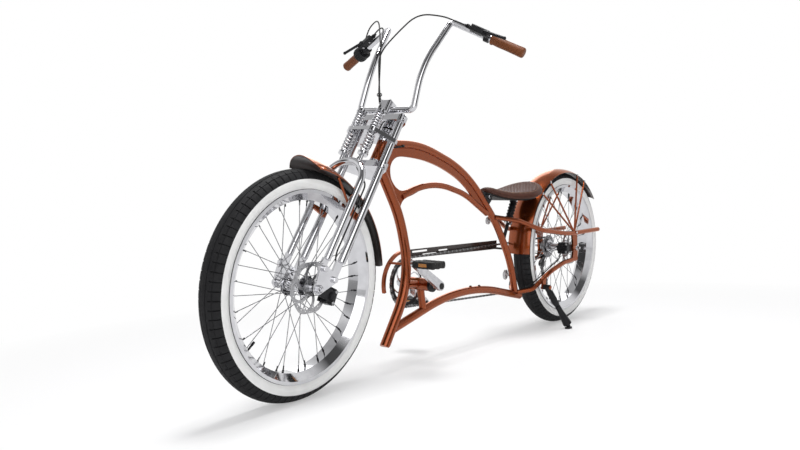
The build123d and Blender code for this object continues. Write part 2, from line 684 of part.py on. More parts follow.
def fender(start, end):
    """Angles run from straight ahead, upwards."""
    r_out = FENDER_ARCH_R + FENDER_T
    edge = FENDER_HALF_W / FENDER_ARCH_R
    out_y, out_r = r_out * edge, FENDER_R - FENDER_ARCH_R + r_out * sqrt(1 - edge ** 2)
    crown_in = ThreePointArc((FENDER_R - FENDER_DROP, -FENDER_HALF_W), (FENDER_R, 0), (FENDER_R - FENDER_DROP, FENDER_HALF_W))
    crown_out = ThreePointArc((out_r, out_y), (FENDER_R + FENDER_T, 0), (out_r, -out_y))
    lip_a = Line(crown_in @ 1, crown_out @ 0)
    lip_b = Line(crown_out @ 1, crown_in @ 0)
    face = make_face(Wire([crown_in, lip_a, crown_out, lip_b]))
    band = revolve(face, Axis.Y, end - start)
    return Rot(Y=-end) * band


FRONT_FENDER = (82, 176)
REAR_FENDER = (-1, 141)
keep("steering", "front_fender", Pos(FRONT_AXLE) * fender(*FRONT_FENDER))
keep("frame", "rear_fender", Pos(0, 0, AXLE_Z) * fender(*REAR_FENDER))

# Fender stays: rear ones in pairs from the upper stays, front ones from plates between the fork legs
fender_edge_r = FENDER_R - FENDER_DROP
fan_foot = Vector(6, STAY_Y, AXLE_Z + 70)
fan = Pos(fan_foot) * Sphere(FENDER_STAY_R + 3)
for angle in (47, 61, 105, 118):
    edge_x, edge_z = polar(fender_edge_r, angle)
    fan += rod(fan_foot, (edge_x, FENDER_HALF_W, AXLE_Z + edge_z), FENDER_STAY_R)
keep("frame", "rear_fender_stays", group(both_sides(fan - upper_left - nodes["rear_fender"])))

brace_foot = steer_point(FENDER_BRACE_P, FENDER_BRACE_Y, FENDER_BRACE_S)
brace_outline = Pos((LEG_OFFSET + FRONT_LEG_OFFSET) / 2, FENDER_BRACE_Y) * Rectangle(FRONT_LEG_OFFSET - LEG_OFFSET, 8)
brace = steer_slab(brace_outline, FENDER_BRACE_S - 10, 20)
for angle in (110, 126):
    edge = FRONT_AXLE + Vector(fender_edge_r * cos(radians(angle)), FENDER_HALF_W, fender_edge_r * sin(radians(angle)))
    brace += rod(brace_foot, edge, FENDER_STAY_R)
brace -= nodes["front_fender"]
keep("steering", "front_fender_stays", group(both_sides(brace - nodes["fork_rear_legs"] - nodes["fork_front_legs"])))

# Chain: lines and arcs about the chainring, the cog and the two pulleys
UPPER_PULLEY = ahead(26, -81)
LOWER_PULLEY = ahead(6, -171)
PULLEY_R = pitch_radius(PULLEY_TEETH)
CHAIN_CIRCLES = (
    # centre x, centre z, pitch radius with the turning sense
    (BB_X, BB_Z, pitch_radius(RING_TEETH)),
    (0, AXLE_Z, pitch_radius(CHAIN_COG_TEETH)),
    (*UPPER_PULLEY, -PULLEY_R),
    (*LOWER_PULLEY, PULLEY_R),
)


chain_face = loop([(x, z, r + CHAIN_H / 2) for x, z, r in CHAIN_CIRCLES])
chain_face -= loop([(x, z, r - CHAIN_H / 2) for x, z, r in CHAIN_CIRCLES])
keep("frame", "chain", side_plate(chain_face, CHAIN_LINE_Y - CHAIN_W / 2, CHAIN_LINE_Y + CHAIN_W / 2))

# Derailleur: a cage about both pulleys and a knuckle that hangs from the right dropout
CAGE_T = 2
CAGE_Y = CHAIN_LINE_Y - CHAIN_W / 2 - 1 - CAGE_T
HANGER = ahead(-9, -48)
HANGER_R = 9
KNUCKLE_OUT_Y = -(STAY_Y - STAY_R - 1)
cage_face = loop([(*UPPER_PULLEY, 11), (*LOWER_PULLEY, 11)])
derailleur = side_plate(cage_face, CAGE_Y, CAGE_Y + CAGE_T)
for x, z in (UPPER_PULLEY, LOWER_PULLEY):
    derailleur += across(x, z, CAGE_Y, CHAIN_LINE_Y + 2, PULLEY_R - CHAIN_H / 2 - SEAT_GAP)
knuckle = loop([(*HANGER, HANGER_R), (*UPPER_PULLEY, 13)])
derailleur += side_plate(knuckle, KNUCKLE_OUT_Y, CAGE_Y)
derailleur += across(*HANGER, -(STAY_Y - DROPOUT_T / 2), KNUCKLE_OUT_Y, HANGER_R - 1)
keep("frame", "derailleur", derailleur)

# Chain guard: a plate beside the chain with tongues at its front end
TONGUES = (
    # x and z from the crank axis, length, width
    (-92, 107, 92, 7),
    (-150, 92, 86, 7),
    (-236, 101, 60, 5),
)
bar_face = make_face(Polyline((-4, GUARD_OUT_R), (-616, 113), (-616, 76), (-60, 84), (-4, GUARD_IN_R), close=True))
for x, z, length, width in TONGUES:
    bar_face -= Pos(x, z) * SlotOverall(length, width)
GUARD_FRONT = Pos(BB_X, 0, BB_Z)
guard = GUARD_FRONT * side_plate(bar_face, GUARD_Y - GUARD_T / 2, GUARD_Y + GUARD_T / 2)
post_x, post_z = along(0.2736, 22)
guard += across(post_x, post_z, GUARD_Y, 0, GUARD_POST_R)
keep("frame", "chain_guard", guard - top_full)

# Guard hoop: a band round the front of the chainring, on a post from the down tube
ring_sector = make_face(Polyline((0, 0), polar(2 * GUARD_OUT_R, HOOP_START), polar(2 * GUARD_OUT_R, 40),
                                 polar(2 * GUARD_OUT_R, 91), close=True))
hoop_face = (Circle(GUARD_OUT_R) - Circle(GUARD_IN_R)) & ring_sector
hoop = GUARD_FRONT * side_plate(hoop_face, GUARD_Y - HOOP_W / 2, GUARD_Y + HOOP_W / 2)
hoop_x, hoop_z = polar((GUARD_IN_R + GUARD_OUT_R) / 2, 44)
hoop += across(BB_X + hoop_x, BB_Z + hoop_z, GUARD_Y, 0, GUARD_POST_R)
keep("frame", "guard_hoop", hoop - down_full - nodes["chain_guard"])

# Saddle, its pan, its hinge on the top tube and its strut
SADDLE_REAR = along(0.1493, 331)
SADDLE_DIP = along(0.2799, 257)
SADDLE_FRONT = along(0.3918, 300)
LOBE_X = 0.2351 * WHEELBASE
NOSE_X = 0.3582 * WHEELBASE


def saddle_layer(top, bottom, inset):
    """A layer of the saddle between two depths below its seat line, inside its plan."""
    def line_at(depth):
        rear, dip, front = ((x, z - depth) for x, z in (SADDLE_REAR, SADDLE_DIP, SADDLE_FRONT))
        return ThreePointArc(rear, dip, front)
    upper, lower = line_at(top), line_at(bottom)
    side = make_face(Wire([upper, Line(upper @ 1, lower @ 1), lower, Line(lower @ 0, upper @ 0)]))
    plan = loop([(LOBE_X, 0, SADDLE_HALF_W - inset), (NOSE_X, 0, SADDLE_NOSE_R - inset / 2)])
    return side_plate(side, -2 * SADDLE_HALF_W, 2 * SADDLE_HALF_W) & lift(plan, 3 * AXLE_Z)


saddle = saddle_layer(0, SADDLE_T, 0)
keep("frame", "saddle", saddle)
pan_solid = saddle_layer(SADDLE_T + SEAT_GAP, SADDLE_T + SEAT_GAP + PAN_T, 16)
keep("frame", "saddle_pan", pan_solid)
hinge_outline = [along(0.3756, 269), along(0.3495, 253), along(0.3545, 225), along(0.3644, 211), along(0.3868, 245)]
hinge = slab(hinge_outline, -HINGE_W / 2, HINGE_W / 2)
strut_foot, sleeve_foot, sleeve_head, strut_head = spread([
    (along(0.2873, 67), 0), (along(0.2674, 130), 0), (along(0.2394, 219), 0), (along(0.2313, 245), 0)])
strut = rod(strut_foot, strut_head, SADDLE_STRUT_R) + rod(sleeve_foot, sleeve_head, SADDLE_SPRING_R)
under_pan = saddle_layer(-2 * SADDLE_T, SADDLE_T + SEAT_GAP + PAN_T, 0)
keep("frame", "saddle_mount", group([part - top_full - rib_full - under_pan for part in (hinge, strut)]))

# Disc brakes
CALIPER_HALF_L = 23
PAD_GAP = 1.5


def caliper(centre_x, centre_z, angle, rotor_y, y_in, y_arm, y_out):
    """A caliper that straddles its rotor at an angle from straight ahead, open towards the axle."""
    block = Pos(ROTOR_R - 6, 0) * Rectangle(38, 2 * CALIPER_HALF_L)
    body = side_plate(block, y_in, y_out)
    half_gap = ROTOR_T / 2 + PAD_GAP
    body -= side_plate(Circle(ROTOR_R + 3), rotor_y - half_gap, rotor_y + half_gap)
    arm = loop([(0, 0, 15), (ROTOR_R - 6, 0, 17)]) - Circle(AXLE_R + 4 + RUN_GAP)
    body += side_plate(arm, y_arm, y_out)
    return Pos(centre_x, 0, centre_z) * Rot(Y=-angle) * body


front_caliper_y = ROCKER_Y - ROCKER_T / 2 - SEAT_GAP
rear_caliper_y = STAY_Y - DROPOUT_T / 2
keep("steering", "front_caliper", caliper(WHEELBASE, AXLE_Z, 205, FRONT_ROTOR_Y, 42, 74, front_caliper_y))
keep("frame", "rear_caliper", caliper(0, AXLE_Z, 2, REAR_ROTOR_Y, 51, REAR_HUB_HALF + SEAT_GAP, rear_caliper_y))

# Cables on the fork: both brake cables and the shift cable gather on the right riser and behind the stem,
# and the front brake cable goes on between the springs and down inside the left leg to its caliper
lever_exit = lever_place - GRIP_DIR * (LEVER_BODY_L - LEVER_CLAMP_L) + LEVER_AHEAD * (BAR_R + LEVER_BODY_W / 2)
right_exit = (lever_exit.X, -lever_exit.Y, lever_exit.Z)
drum_exit = (grip_start.X + 2, -grip_start.Y, grip_start.Z + SHIFTER_R - 4)


def from_bar(x, y, z):
    """A point from the middle of the base bar."""
    return bar_base + Vector(x, y, z)


front_brake = bent_tube([
    lever_exit, from_bar(-155, 128, 320), from_bar(-137, 22, 338), from_bar(-81, -101, 204), from_bar(-8, -34, 48),
    steer_point(82, -8, 664), steer_point(80, -8, 612), steer_point(42, -8, 556), steer_point(44, -8, 520),
    steer_point(82, -6, 470), steer_point(84, 4, 436), steer_point(84, 78, 370), steer_point(84, 77, 170),
    steer_point(66, 58, 130), steer_point(36, 60, 84), steer_point(31, 61, 12),
], [60, 95, 60, 40, 16, 16, 16, 16, 16, 16, 16, 25, 16, 16], CABLE_R)
rear_brake = bent_tube([
    right_exit, from_bar(-155, -140, 316), from_bar(-78, -94, 206), from_bar(-12, -40, 46), steer_point(6, -36, 672),
], [14, 60, 30], CABLE_R)
shift = bent_tube([
    drum_exit, from_bar(-205, -240, 330), from_bar(-150, -160, 340), from_bar(-74, -87, 210), from_bar(-16, -46, 50),
    steer_point(4, -44, 676),
], [20, 30, 60, 30], CABLE_R)
housings = nodes["brake_levers"] + nodes["shifter"] + nodes["front_caliper"]
keep("steering", "fork_cables", group([cable - housings for cable in (front_brake, rear_brake, shift)]))

# Cables on the frame: the rear brake's on the left and the shift cable on the right, beside the top tube
# and then over the lower stays
CABLE_DROP = 9
CABLE_Y = TOP_TUBE_R + CABLE_R
first = back(443, 431)
run = [(x + CABLE_DROP, CABLE_Y, z - CABLE_DROP) for x, z in [first] + top_path[1:5] + [along(0.2363, -142)]]
over_stay = spread([(ahead(322, -133), 58), (ahead(228, -67), STAY_Y - 1), (ahead(150, -42), STAY_Y)])
to_caliper = spread([(ahead(104, -12), 73), (ahead(84, -4), 72)])
to_derailleur = spread([(ahead(60, -26), STAY_Y - 4), (ahead(16, -44), 73), (ahead(8, -60), 72)])
run_bends = TOP_BENDS + [14, 30, 60]
brake_run = bent_tube(run + over_stay + to_caliper, run_bends + [30, 10], CABLE_R) - nodes["rear_caliper"]
shift_run = bent_tube(run + over_stay + to_derailleur, run_bends + [60, 20, 8], CABLE_R)
keep("frame", "frame_cables", group([brake_run, mirror(shift_run, Plane.XZ) - nodes["derailleur"]]))

# Crankset
CRANK_OUT_Y = CRANK_IN_Y + CRANK_T
ring_r = pitch_radius(RING_TEETH) - CHAIN_H / 2 - TOOTH_GAP
ring_face = Circle(ring_r) - Circle(ring_r - RING_BAND)
ring_face += Circle(RING_BOSS_R)
for i in range(RING_ARMS):
    ring_face += Rot(Z=360 * i / RING_ARMS) * swirl(RING_BOSS_R - 4, ring_r - RING_BAND + 3, 50, RING_ARM_W)
ring_face -= Circle(SPINDLE_R + RUN_GAP)
ring = Pos(BB_X, 0, BB_Z) * side_plate(ring_face, CHAIN_LINE_Y - RING_T / 2, CHAIN_LINE_Y + RING_T / 2)
keep("crankset", "chainring", ring)

CRANK_DIR = Vector(cos(radians(CRANK_ANGLE)), 0, sin(radians(CRANK_ANGLE)))
spindle = across(BB_X, BB_Z, -CRANK_OUT_Y, CRANK_OUT_Y, SPINDLE_R)
arms = []
for side in (1, -1):
    arm_face = loop([(0, 0, CRANK_W / 2 + 4), (CRANK_L, 0, CRANK_W / 2)])
    arm_face -= Circle(SPINDLE_R + RUN_GAP)
    arm_face -= Pos(CRANK_L, 0) * Circle(PEDAL_AXLE_R + RUN_GAP)
    turn = -CRANK_ANGLE if side == 1 else 180 - CRANK_ANGLE
    y_low = CRANK_IN_Y if side == 1 else -CRANK_OUT_Y
    arms.append(Pos(BB_X, 0, BB_Z) * Rot(Y=turn) * side_plate(arm_face, y_low, y_low + CRANK_T))
spacer = across(BB_X, BB_Z, -CRANK_IN_Y, CHAIN_LINE_Y - RING_T / 2, SPINDLE_R + 8)
keep("crankset", "crank_spindle", spindle + spacer)
keep("crankset", "crank_arms", group(arms))

for name, side in (("left", 1), ("right", -1)):
    centre = BB_CENTRE + CRANK_DIR * (side * CRANK_L)
    y_axle = side * (CRANK_IN_Y + 1)
    y_in = side * (CRANK_OUT_Y + 8)
    y_out = side * (CRANK_OUT_Y + 8 + PEDAL_W)
    pedal_axle = rod((centre.X, y_axle, centre.Z), (centre.X, y_out, centre.Z), PEDAL_AXLE_R)
    mid_y = (y_in + y_out) / 2
    cage = fillet(Box(PEDAL_L, PEDAL_W, PEDAL_H).edges().filter_by(Axis.Y), PEDAL_ROUND)
    keep("pedal_" + name, "pedal_" + name, Pos(centre.X, mid_y, centre.Z) * cage + pedal_axle)

# Side stand: a bracket under the left lower stay with the pin of the leg
STAND_PIVOT = (STAND_PIVOT_X, STAND_PIVOT_Y, AXLE_Z - STAND_PIVOT_DROP)
pivot_x, pivot_y, pivot_z = STAND_PIVOT
bracket_in_y = pivot_y - STAND_BRACKET_T
pin_end_y = pivot_y + STAND_PIN_L
bracket_outline = [(pivot_x - 22, pivot_z + 42), (pivot_x + 8, pivot_z + 26), (pivot_x + 11, pivot_z - 9),
                   (pivot_x - 11, pivot_z - 9)]
bracket = slab(bracket_outline, bracket_in_y, pivot_y)
bracket += across(pivot_x, pivot_z, bracket_in_y, pin_end_y, STAND_PIN_R)
bracket += across(pivot_x, pivot_z, pin_end_y, pin_end_y + STAND_PIN_HEAD, STAND_PIN_R + STAND_PIN_HEAD)
keep("frame", "stand_bracket", bracket - lower_left)


# The parked stance: turn the fork, lean the bicycle and pitch it until both tyres touch the ground
def lowest(centre, axis):
    return centre.Z - TYRE_CENTRE_R * sqrt(1 - axis.Z ** 2) - TYRE_CROWN_R


def turn_about(point, axis, angle):
    plane = Plane(point, z_dir=axis)
    return plane.location * Rot(Z=angle) * plane.location.inverse()


STEER_TURN = turn_about(STEER_FOOT, UP, PARKED_STEER)


def moved(location, point):
    return (location * Pos(point)).position


def stance(pitch):
    return Rot(X=-PARKED_LEAN) * Rot(Y=pitch)


def tyre_bottoms(pitch):
    place = stance(pitch)
    rear_c = Vector(0, 0, AXLE_Z)
    front_c = moved(STEER_TURN, FRONT_AXLE)
    front_side = moved(STEER_TURN, FRONT_AXLE + Vector(0, 1, 0))
    heights = []
    for centre, beside in ((rear_c, rear_c + Vector(0, 1, 0)), (front_c, front_side)):
        c = moved(place, centre)
        heights.append(lowest(c, moved(place, beside) - c))
    return heights


pitch = 0.0
for _ in range(6):
    rear_low, front_low = tyre_bottoms(pitch)
    pitch += degrees((front_low - rear_low) / WHEELBASE)
STANCE = Pos(0, 0, -tyre_bottoms(pitch)[0]) * stance(pitch)

# The stand's leg reaches the ground at the parked lean, where its pad lies flat
pad_place = moved(STANCE, Vector(*STAND_FOOT, 0))
pad_place.Z = STAND_PAD_T / 2
pad = Pos(pad_place) * fillet(Box(STAND_PAD_L, STAND_PAD_W, STAND_PAD_T).edges().filter_by(Axis.Z), STAND_LEG_R)
foot = moved(STANCE.inverse(), pad_place + Vector(0, 0, STAND_LEG_R))
hip = Vector(pivot_x, pivot_y + STAND_PIN_L / 2, pivot_z)
leg = rod(hip, foot, STAND_LEG_R) + rod(hip, hip + (foot - hip) * 0.42, STAND_LEG_R + STAND_SLEEVE_T)
leg += Pos(foot) * Sphere(STAND_LEG_R)
leg += STANCE.inverse() * pad
leg += across(pivot_x, pivot_z, pivot_y + SEAT_GAP, pin_end_y - SEAT_GAP, STAND_PIN_R + 6)
leg -= across(pivot_x, pivot_z, bracket_in_y, pin_end_y + STAND_PIN_L, STAND_PIN_R + RUN_GAP)
leg -= across(pivot_x, pivot_z, bracket_in_y, pivot_y + SEAT_GAP, STAND_PIN_L)
leg -= across(pivot_x, pivot_z, pin_end_y - SEAT_GAP, pin_end_y + STAND_PIN_L, STAND_PIN_R + STAND_PIN_HEAD + 1)
keep("stand", "side_stand", leg)

for body in ("steering", "front_wheel"):
    for name in bodies[body]:
        nodes[name] = STEER_TURN * nodes[name]
for name in nodes:
    nodes[name] = STANCE * nodes[name]
box = group(nodes.values()).bounding_box()
CENTRE = Pos(-(box.min.X + box.max.X) / 2, -(box.min.Y + box.max.Y) / 2, -box.min.Z)

os.makedirs("parts", exist_ok=True)
for name in nodes:
    nodes[name] = CENTRE * nodes[name]
    export_step(nodes[name], "parts/" + name + ".step")
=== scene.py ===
import bmesh
import bpy
from math import asin, atan2, ceil, cos, hypot, pi, radians, sin, sqrt
from mathutils import Matrix, Vector


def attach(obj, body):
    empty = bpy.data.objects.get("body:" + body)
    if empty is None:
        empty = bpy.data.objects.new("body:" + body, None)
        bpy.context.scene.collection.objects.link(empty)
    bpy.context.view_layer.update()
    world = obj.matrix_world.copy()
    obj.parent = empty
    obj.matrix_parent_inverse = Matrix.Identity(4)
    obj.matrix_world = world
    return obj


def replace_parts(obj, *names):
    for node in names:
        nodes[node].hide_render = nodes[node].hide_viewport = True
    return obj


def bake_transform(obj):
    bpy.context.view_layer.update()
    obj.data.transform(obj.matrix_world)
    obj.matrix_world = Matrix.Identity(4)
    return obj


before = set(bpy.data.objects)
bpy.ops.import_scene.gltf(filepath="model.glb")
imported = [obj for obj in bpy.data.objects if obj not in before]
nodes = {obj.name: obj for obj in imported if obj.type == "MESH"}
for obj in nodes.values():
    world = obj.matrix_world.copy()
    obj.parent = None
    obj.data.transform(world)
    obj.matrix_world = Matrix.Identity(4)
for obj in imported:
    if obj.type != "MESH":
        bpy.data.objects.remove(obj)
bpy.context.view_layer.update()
scene = bpy.context.scene
MM = 0.001

# The upright bicycle's frame, in millimetres, and its parked stance
PARKED_LEAN = 4.0
PARKED_STEER = 4.0
PITCH = 0.0126
SHIFT = (-803.708, -74.065, 0.106)
WHEELBASE = 1608.0
TYRE_R = 345.0
TYRE_CROWN_R = 43.5
HEAD_ANGLE = 57.5
AXLE_OFFSET = 104.0
BB = Vector((1018, 0, 284))

UP = Vector((-cos(radians(HEAD_ANGLE)), 0, sin(radians(HEAD_ANGLE))))
FORWARD = Vector((sin(radians(HEAD_ANGLE)), 0, cos(radians(HEAD_ANGLE))))
ACROSS = Vector((0, 1, 0))
FRONT_AXLE = Vector((WHEELBASE, 0, TYRE_R))
REAR_AXLE = Vector((0, 0, TYRE_R))
STEER_FOOT = FRONT_AXLE - FORWARD * AXLE_OFFSET

STANCE = (Matrix.Translation(SHIFT) @ Matrix.Rotation(radians(-PARKED_LEAN), 4, "X")
          @ Matrix.Rotation(radians(PITCH), 4, "Y"))
TURN = (Matrix.Translation(STEER_FOOT) @ Matrix.Rotation(radians(PARKED_STEER), 4, UP)
        @ Matrix.Translation(-STEER_FOOT))
SCALE = Matrix.Scale(MM, 4)
PLACES = {
    "frame": SCALE @ STANCE,
    "steering": SCALE @ STANCE @ TURN,
    "front_wheel": SCALE @ STANCE @ TURN,
    "rear_wheel": SCALE @ STANCE,
    "crankset": SCALE @ STANCE,
    "pedal_left": SCALE @ STANCE,
    "pedal_right": SCALE @ STANCE,
    "stand": SCALE @ STANCE,
}


def steer_point(p, y, s):
    return STEER_FOOT + FORWARD * p + ACROSS * y + UP * s


def mirrored(v):
    return Vector((v[0], -v[1], v[2]))


# Materials
def new_material(name):
    mat = bpy.data.materials.new(name)
    mat.use_nodes = True
    tree = mat.node_tree
    return mat, tree, tree.nodes["Principled BSDF"]


def set_inputs(node, **values):
    for key, value in values.items():
        node.inputs[key.replace("_", " ")].default_value = value


def add(tree, kind, **inputs):
    node = tree.nodes.new(kind)
    for key, value in inputs.items():
        node.inputs[key].default_value = value
    return node


def math(tree, operation, first, second=0.0):
    node = tree.nodes.new("ShaderNodeMath")
    node.operation = operation
    for socket, value in zip(node.inputs, (first, second)):
        if isinstance(value, (int, float)):
            socket.default_value = value
        else:
            tree.links.new(value, socket)
    return node.outputs[0]


def mix_colour(tree, fac, first, second):
    node = tree.nodes.new("ShaderNodeMix")
    node.data_type = "RGBA"
    tree.links.new(fac, node.inputs["Factor"])
    for socket, value in ((node.inputs[6], first), (node.inputs[7], second)):
        if isinstance(value, tuple):
            socket.default_value = (*value, 1)
        else:
            tree.links.new(value, socket)
    return node.outputs[2]


def noise(tree, coord, scale, detail=4.0, roughness=0.5):
    node = add(tree, "ShaderNodeTexNoise", Scale=scale, Detail=detail, Roughness=roughness)
    tree.links.new(coord, node.inputs["Vector"])
    return node.outputs["Fac"]


def ramp(tree, fac, stops):
    node = tree.nodes.new("ShaderNodeValToRGB")
    node.color_ramp.elements[0].position = stops[0][0]
    node.color_ramp.elements[0].color = (*stops[0][1], 1)
    node.color_ramp.elements[1].position = stops[-1][0]
    node.color_ramp.elements[1].color = (*stops[-1][1], 1)
    for place, colour in stops[1:-1]:
        node.color_ramp.elements.new(place).color = (*colour, 1)
    tree.links.new(fac, node.inputs["Fac"])
    return node.outputs["Color"]


def spread(tree, fac, first, second):
    """The middle of a noise spread from one colour to another."""
    return ramp(tree, fac, [(0.3, first), (0.7, second)])


def grey(low, high):
    return (low, low, low), (high, high, high)


def bump(tree, bsdf, height, strength, distance):
    node = add(tree, "ShaderNodeBump", Strength=strength, Distance=distance)
    tree.links.new(height, node.inputs["Height"])
    tree.links.new(node.outputs["Normal"], bsdf.inputs["Normal"])


def object_coord(tree):
    return tree.nodes.new("ShaderNodeTexCoord").outputs["Object"]


GRAIN_DEPTH = 0.0004
GLOSS_FINER = 2.7


def speckled(name, dark, light, scale, metallic, rough, grain, grain_scale, **extra):
    """A surface whose colour, gloss and grain vary a little."""
    mat, tree, bsdf = new_material(name)
    coord = object_coord(tree)
    tint = spread(tree, noise(tree, coord, scale), dark, light)
    tree.links.new(tint, bsdf.inputs["Base Color"])
    low, high = grey(*rough)
    gloss = spread(tree, noise(tree, coord, scale * GLOSS_FINER), low, high)
    tree.links.new(gloss, bsdf.inputs["Roughness"])
    bsdf.inputs["Metallic"].default_value = metallic
    bump(tree, bsdf, noise(tree, coord, grain_scale), grain, GRAIN_DEPTH)
    set_inputs(bsdf, **extra)
    return mat


COPPER_DARK = (0.2, 0.039, 0.008)
COPPER_LIGHT = (0.29, 0.06, 0.013)
COPPER_METAL = 0.9
COPPER_GLOSS = (0.22, 0.3)
COPPER_FLAKE = 900
COPPER_GRAIN = 0.05
COPPER_GRAIN_SCALE = 2400
BROWN_DARK = (0.014, 0.006, 0.004)
BROWN_LIGHT = (0.023, 0.01, 0.007)
PAINT = {"Coat_Weight": 0.5, "Coat_Roughness": 0.04, "Specular_Tint": (1.0, 0.65, 0.5, 1.0)}
MATT = {"Specular_IOR_Level": 0.22}
COPPER = speckled("copper_paint", COPPER_DARK, COPPER_LIGHT, COPPER_FLAKE, COPPER_METAL, COPPER_GLOSS,
                  COPPER_GRAIN, COPPER_GRAIN_SCALE, **PAINT)
BROWN = speckled("brown_paint", BROWN_DARK, BROWN_LIGHT, 700, 0.2, (0.36, 0.46), 0.05, 2200,
                 Coat_Weight=0.3, Coat_Roughness=0.12)
CHROME = speckled("chrome", (0.54, 0.54, 0.56), (0.62, 0.62, 0.64), 30, 1.0, (0.05, 0.1), 0.004, 220)
ALLOY = speckled("satin_alloy", (0.5, 0.5, 0.52), (0.6, 0.6, 0.62), 60, 1.0, (0.2, 0.3), 0.06, 500)
STEEL = speckled("brushed_steel", (0.3, 0.3, 0.31), (0.42, 0.42, 0.43), 160, 1.0, (0.28, 0.42), 0.15, 700)
SPOKE_STEEL = speckled("spoke_steel", (0.2, 0.2, 0.21), (0.3, 0.3, 0.31), 60, 1.0, (0.2, 0.3), 0.05, 700)
DARK_STEEL = speckled("dark_steel", (0.05, 0.05, 0.052), (0.11, 0.105, 0.1), 140, 1.0, (0.3, 0.5), 0.15, 600)
BLACK_METAL = speckled("black_metal", (0.008, 0.008, 0.009), (0.016, 0.016, 0.018), 120, 0.2, (0.3, 0.42),
                       0.1, 900, **MATT)
BLACK_PLASTIC = speckled("black_plastic", (0.01, 0.01, 0.01), (0.02, 0.02, 0.02), 80, 0.0, (0.45, 0.6),
                         0.25, 1100, **MATT)
CABLE_BLACK = speckled("cable_housing", (0.008, 0.008, 0.008), (0.014, 0.014, 0.014), 60, 0.0, (0.35, 0.5),
                       0.1, 1500, **MATT)
RUBBER = speckled("tread_rubber", (0.008, 0.008, 0.009), (0.014, 0.014, 0.015), 50, 0.0, (0.6, 0.75),
                  0.2, 1300, **MATT)
WHITE_RUBBER = speckled("white_rubber", (0.72, 0.72, 0.71), (0.78, 0.78, 0.77), 24, 0.0, (0.5, 0.62),
                        0.08, 1000)
GRIP_LEATHER = speckled("grip_leather", (0.14, 0.043, 0.014), (0.18, 0.058, 0.02), 220, 0.0, (0.4, 0.52),
                        0.06, 1600, **MATT)
SADDLE_LEATHER = speckled("saddle_leather", (0.045, 0.016, 0.01), (0.075, 0.028, 0.018), 90, 0.0,
                          (0.42, 0.56), 0.3, 1000, **MATT)
STITCH = speckled("stitch_thread", (0.3, 0.17, 0.1), (0.42, 0.26, 0.17), 300, 0.0, (0.7, 0.85), 0.3, 2500)
AMBER = speckled("amber_reflector", (0.32, 0.11, 0.008), (0.45, 0.17, 0.012), 400, 0.0, (0.1, 0.2),
                 0.3, 1800, Coat_Weight=0.6)
PALE_LENS = speckled("pale_reflector", (0.42, 0.42, 0.43), (0.56, 0.56, 0.57), 500, 0.0, (0.1, 0.2),
                     0.3, 1500, Coat_Weight=0.6)


def fender_paint(name, centre):
    """Copper outside and dark inside, told apart by the way the skin faces from the wheel's centre."""
    mat, tree, bsdf = new_material(name)
    coord = object_coord(tree)
    shades = [spread(tree, noise(tree, coord, COPPER_FLAKE), dark, light)
              for dark, light in ((COPPER_DARK, COPPER_LIGHT), (BROWN_DARK, BROWN_LIGHT))]
    outward = tree.nodes.new("ShaderNodeVectorMath")
    outward.operation = "SUBTRACT"
    tree.links.new(coord, outward.inputs[0])
    outward.inputs[1].default_value = centre
    facing = tree.nodes.new("ShaderNodeVectorMath")
    facing.operation = "DOT_PRODUCT"
    tree.links.new(outward.outputs["Vector"], facing.inputs[0])
    tree.links.new(tree.nodes.new("ShaderNodeTexCoord").outputs["Normal"], facing.inputs[1])
    outside = math(tree, "GREATER_THAN", facing.outputs["Value"], 0.0)
    tree.links.new(mix_colour(tree, outside, shades[1], shades[0]), bsdf.inputs["Base Color"])
    low, high = grey(*COPPER_GLOSS)
    fine = noise(tree, coord, COPPER_GRAIN_SCALE)
    tree.links.new(spread(tree, fine, low, high), bsdf.inputs["Roughness"])
    bump(tree, bsdf, fine, COPPER_GRAIN, GRAIN_DEPTH)
    tree.links.new(math(tree, "MULTIPLY", outside, COPPER_METAL), bsdf.inputs["Metallic"])
    set_inputs(bsdf, **PAINT)
    return mat


REAR_FENDER_PAINT = fender_paint("rear_fender_paint", PLACES["frame"] @ REAR_AXLE)

NODE_MATERIALS = (
    # material, nodes that carry it
    (COPPER, "top_tube down_tube lower_tube rib_tube gusset_plate head_tube bottom_bracket bracket_struts "
             "upper_stays lower_stays dropouts stand_bracket guard_hoop front_fender front_fender_stays "
             "rear_fender_stays"),
    (REAR_FENDER_PAINT, "rear_fender"),
    (CHROME, "fork_crowns fork_rear_legs fork_front_legs spring_rods fork_springs spring_perch fork_rockers "
             "handlebar bar_clamp front_axle rear_axle front_rim rear_rim front_hub rear_hub "
             "crank_spindle chainring"),
    (SPOKE_STEEL, "front_spokes rear_spokes"),
    (ALLOY, "crank_arms"),
    (STEEL, "front_rotor rear_rotor cassette"),
    (DARK_STEEL, "chain"),
    (BLACK_METAL, "front_caliper rear_caliper brake_levers derailleur side_stand saddle_mount bracket_cups"),
    (BLACK_PLASTIC, "pedal_left pedal_right shifter saddle_pan"),
    (CABLE_BLACK, "fork_cables frame_cables"),
    (BROWN, "chain_guard"),
    (SADDLE_LEATHER, "saddle"),
    (GRIP_LEATHER, "grips"),
    (RUBBER, "front_tyre rear_tyre"),
)
for mat, names in NODE_MATERIALS:
    for name in names.split():
        node = nodes[name]
        node.data.materials.clear()
        node.data.materials.append(mat)


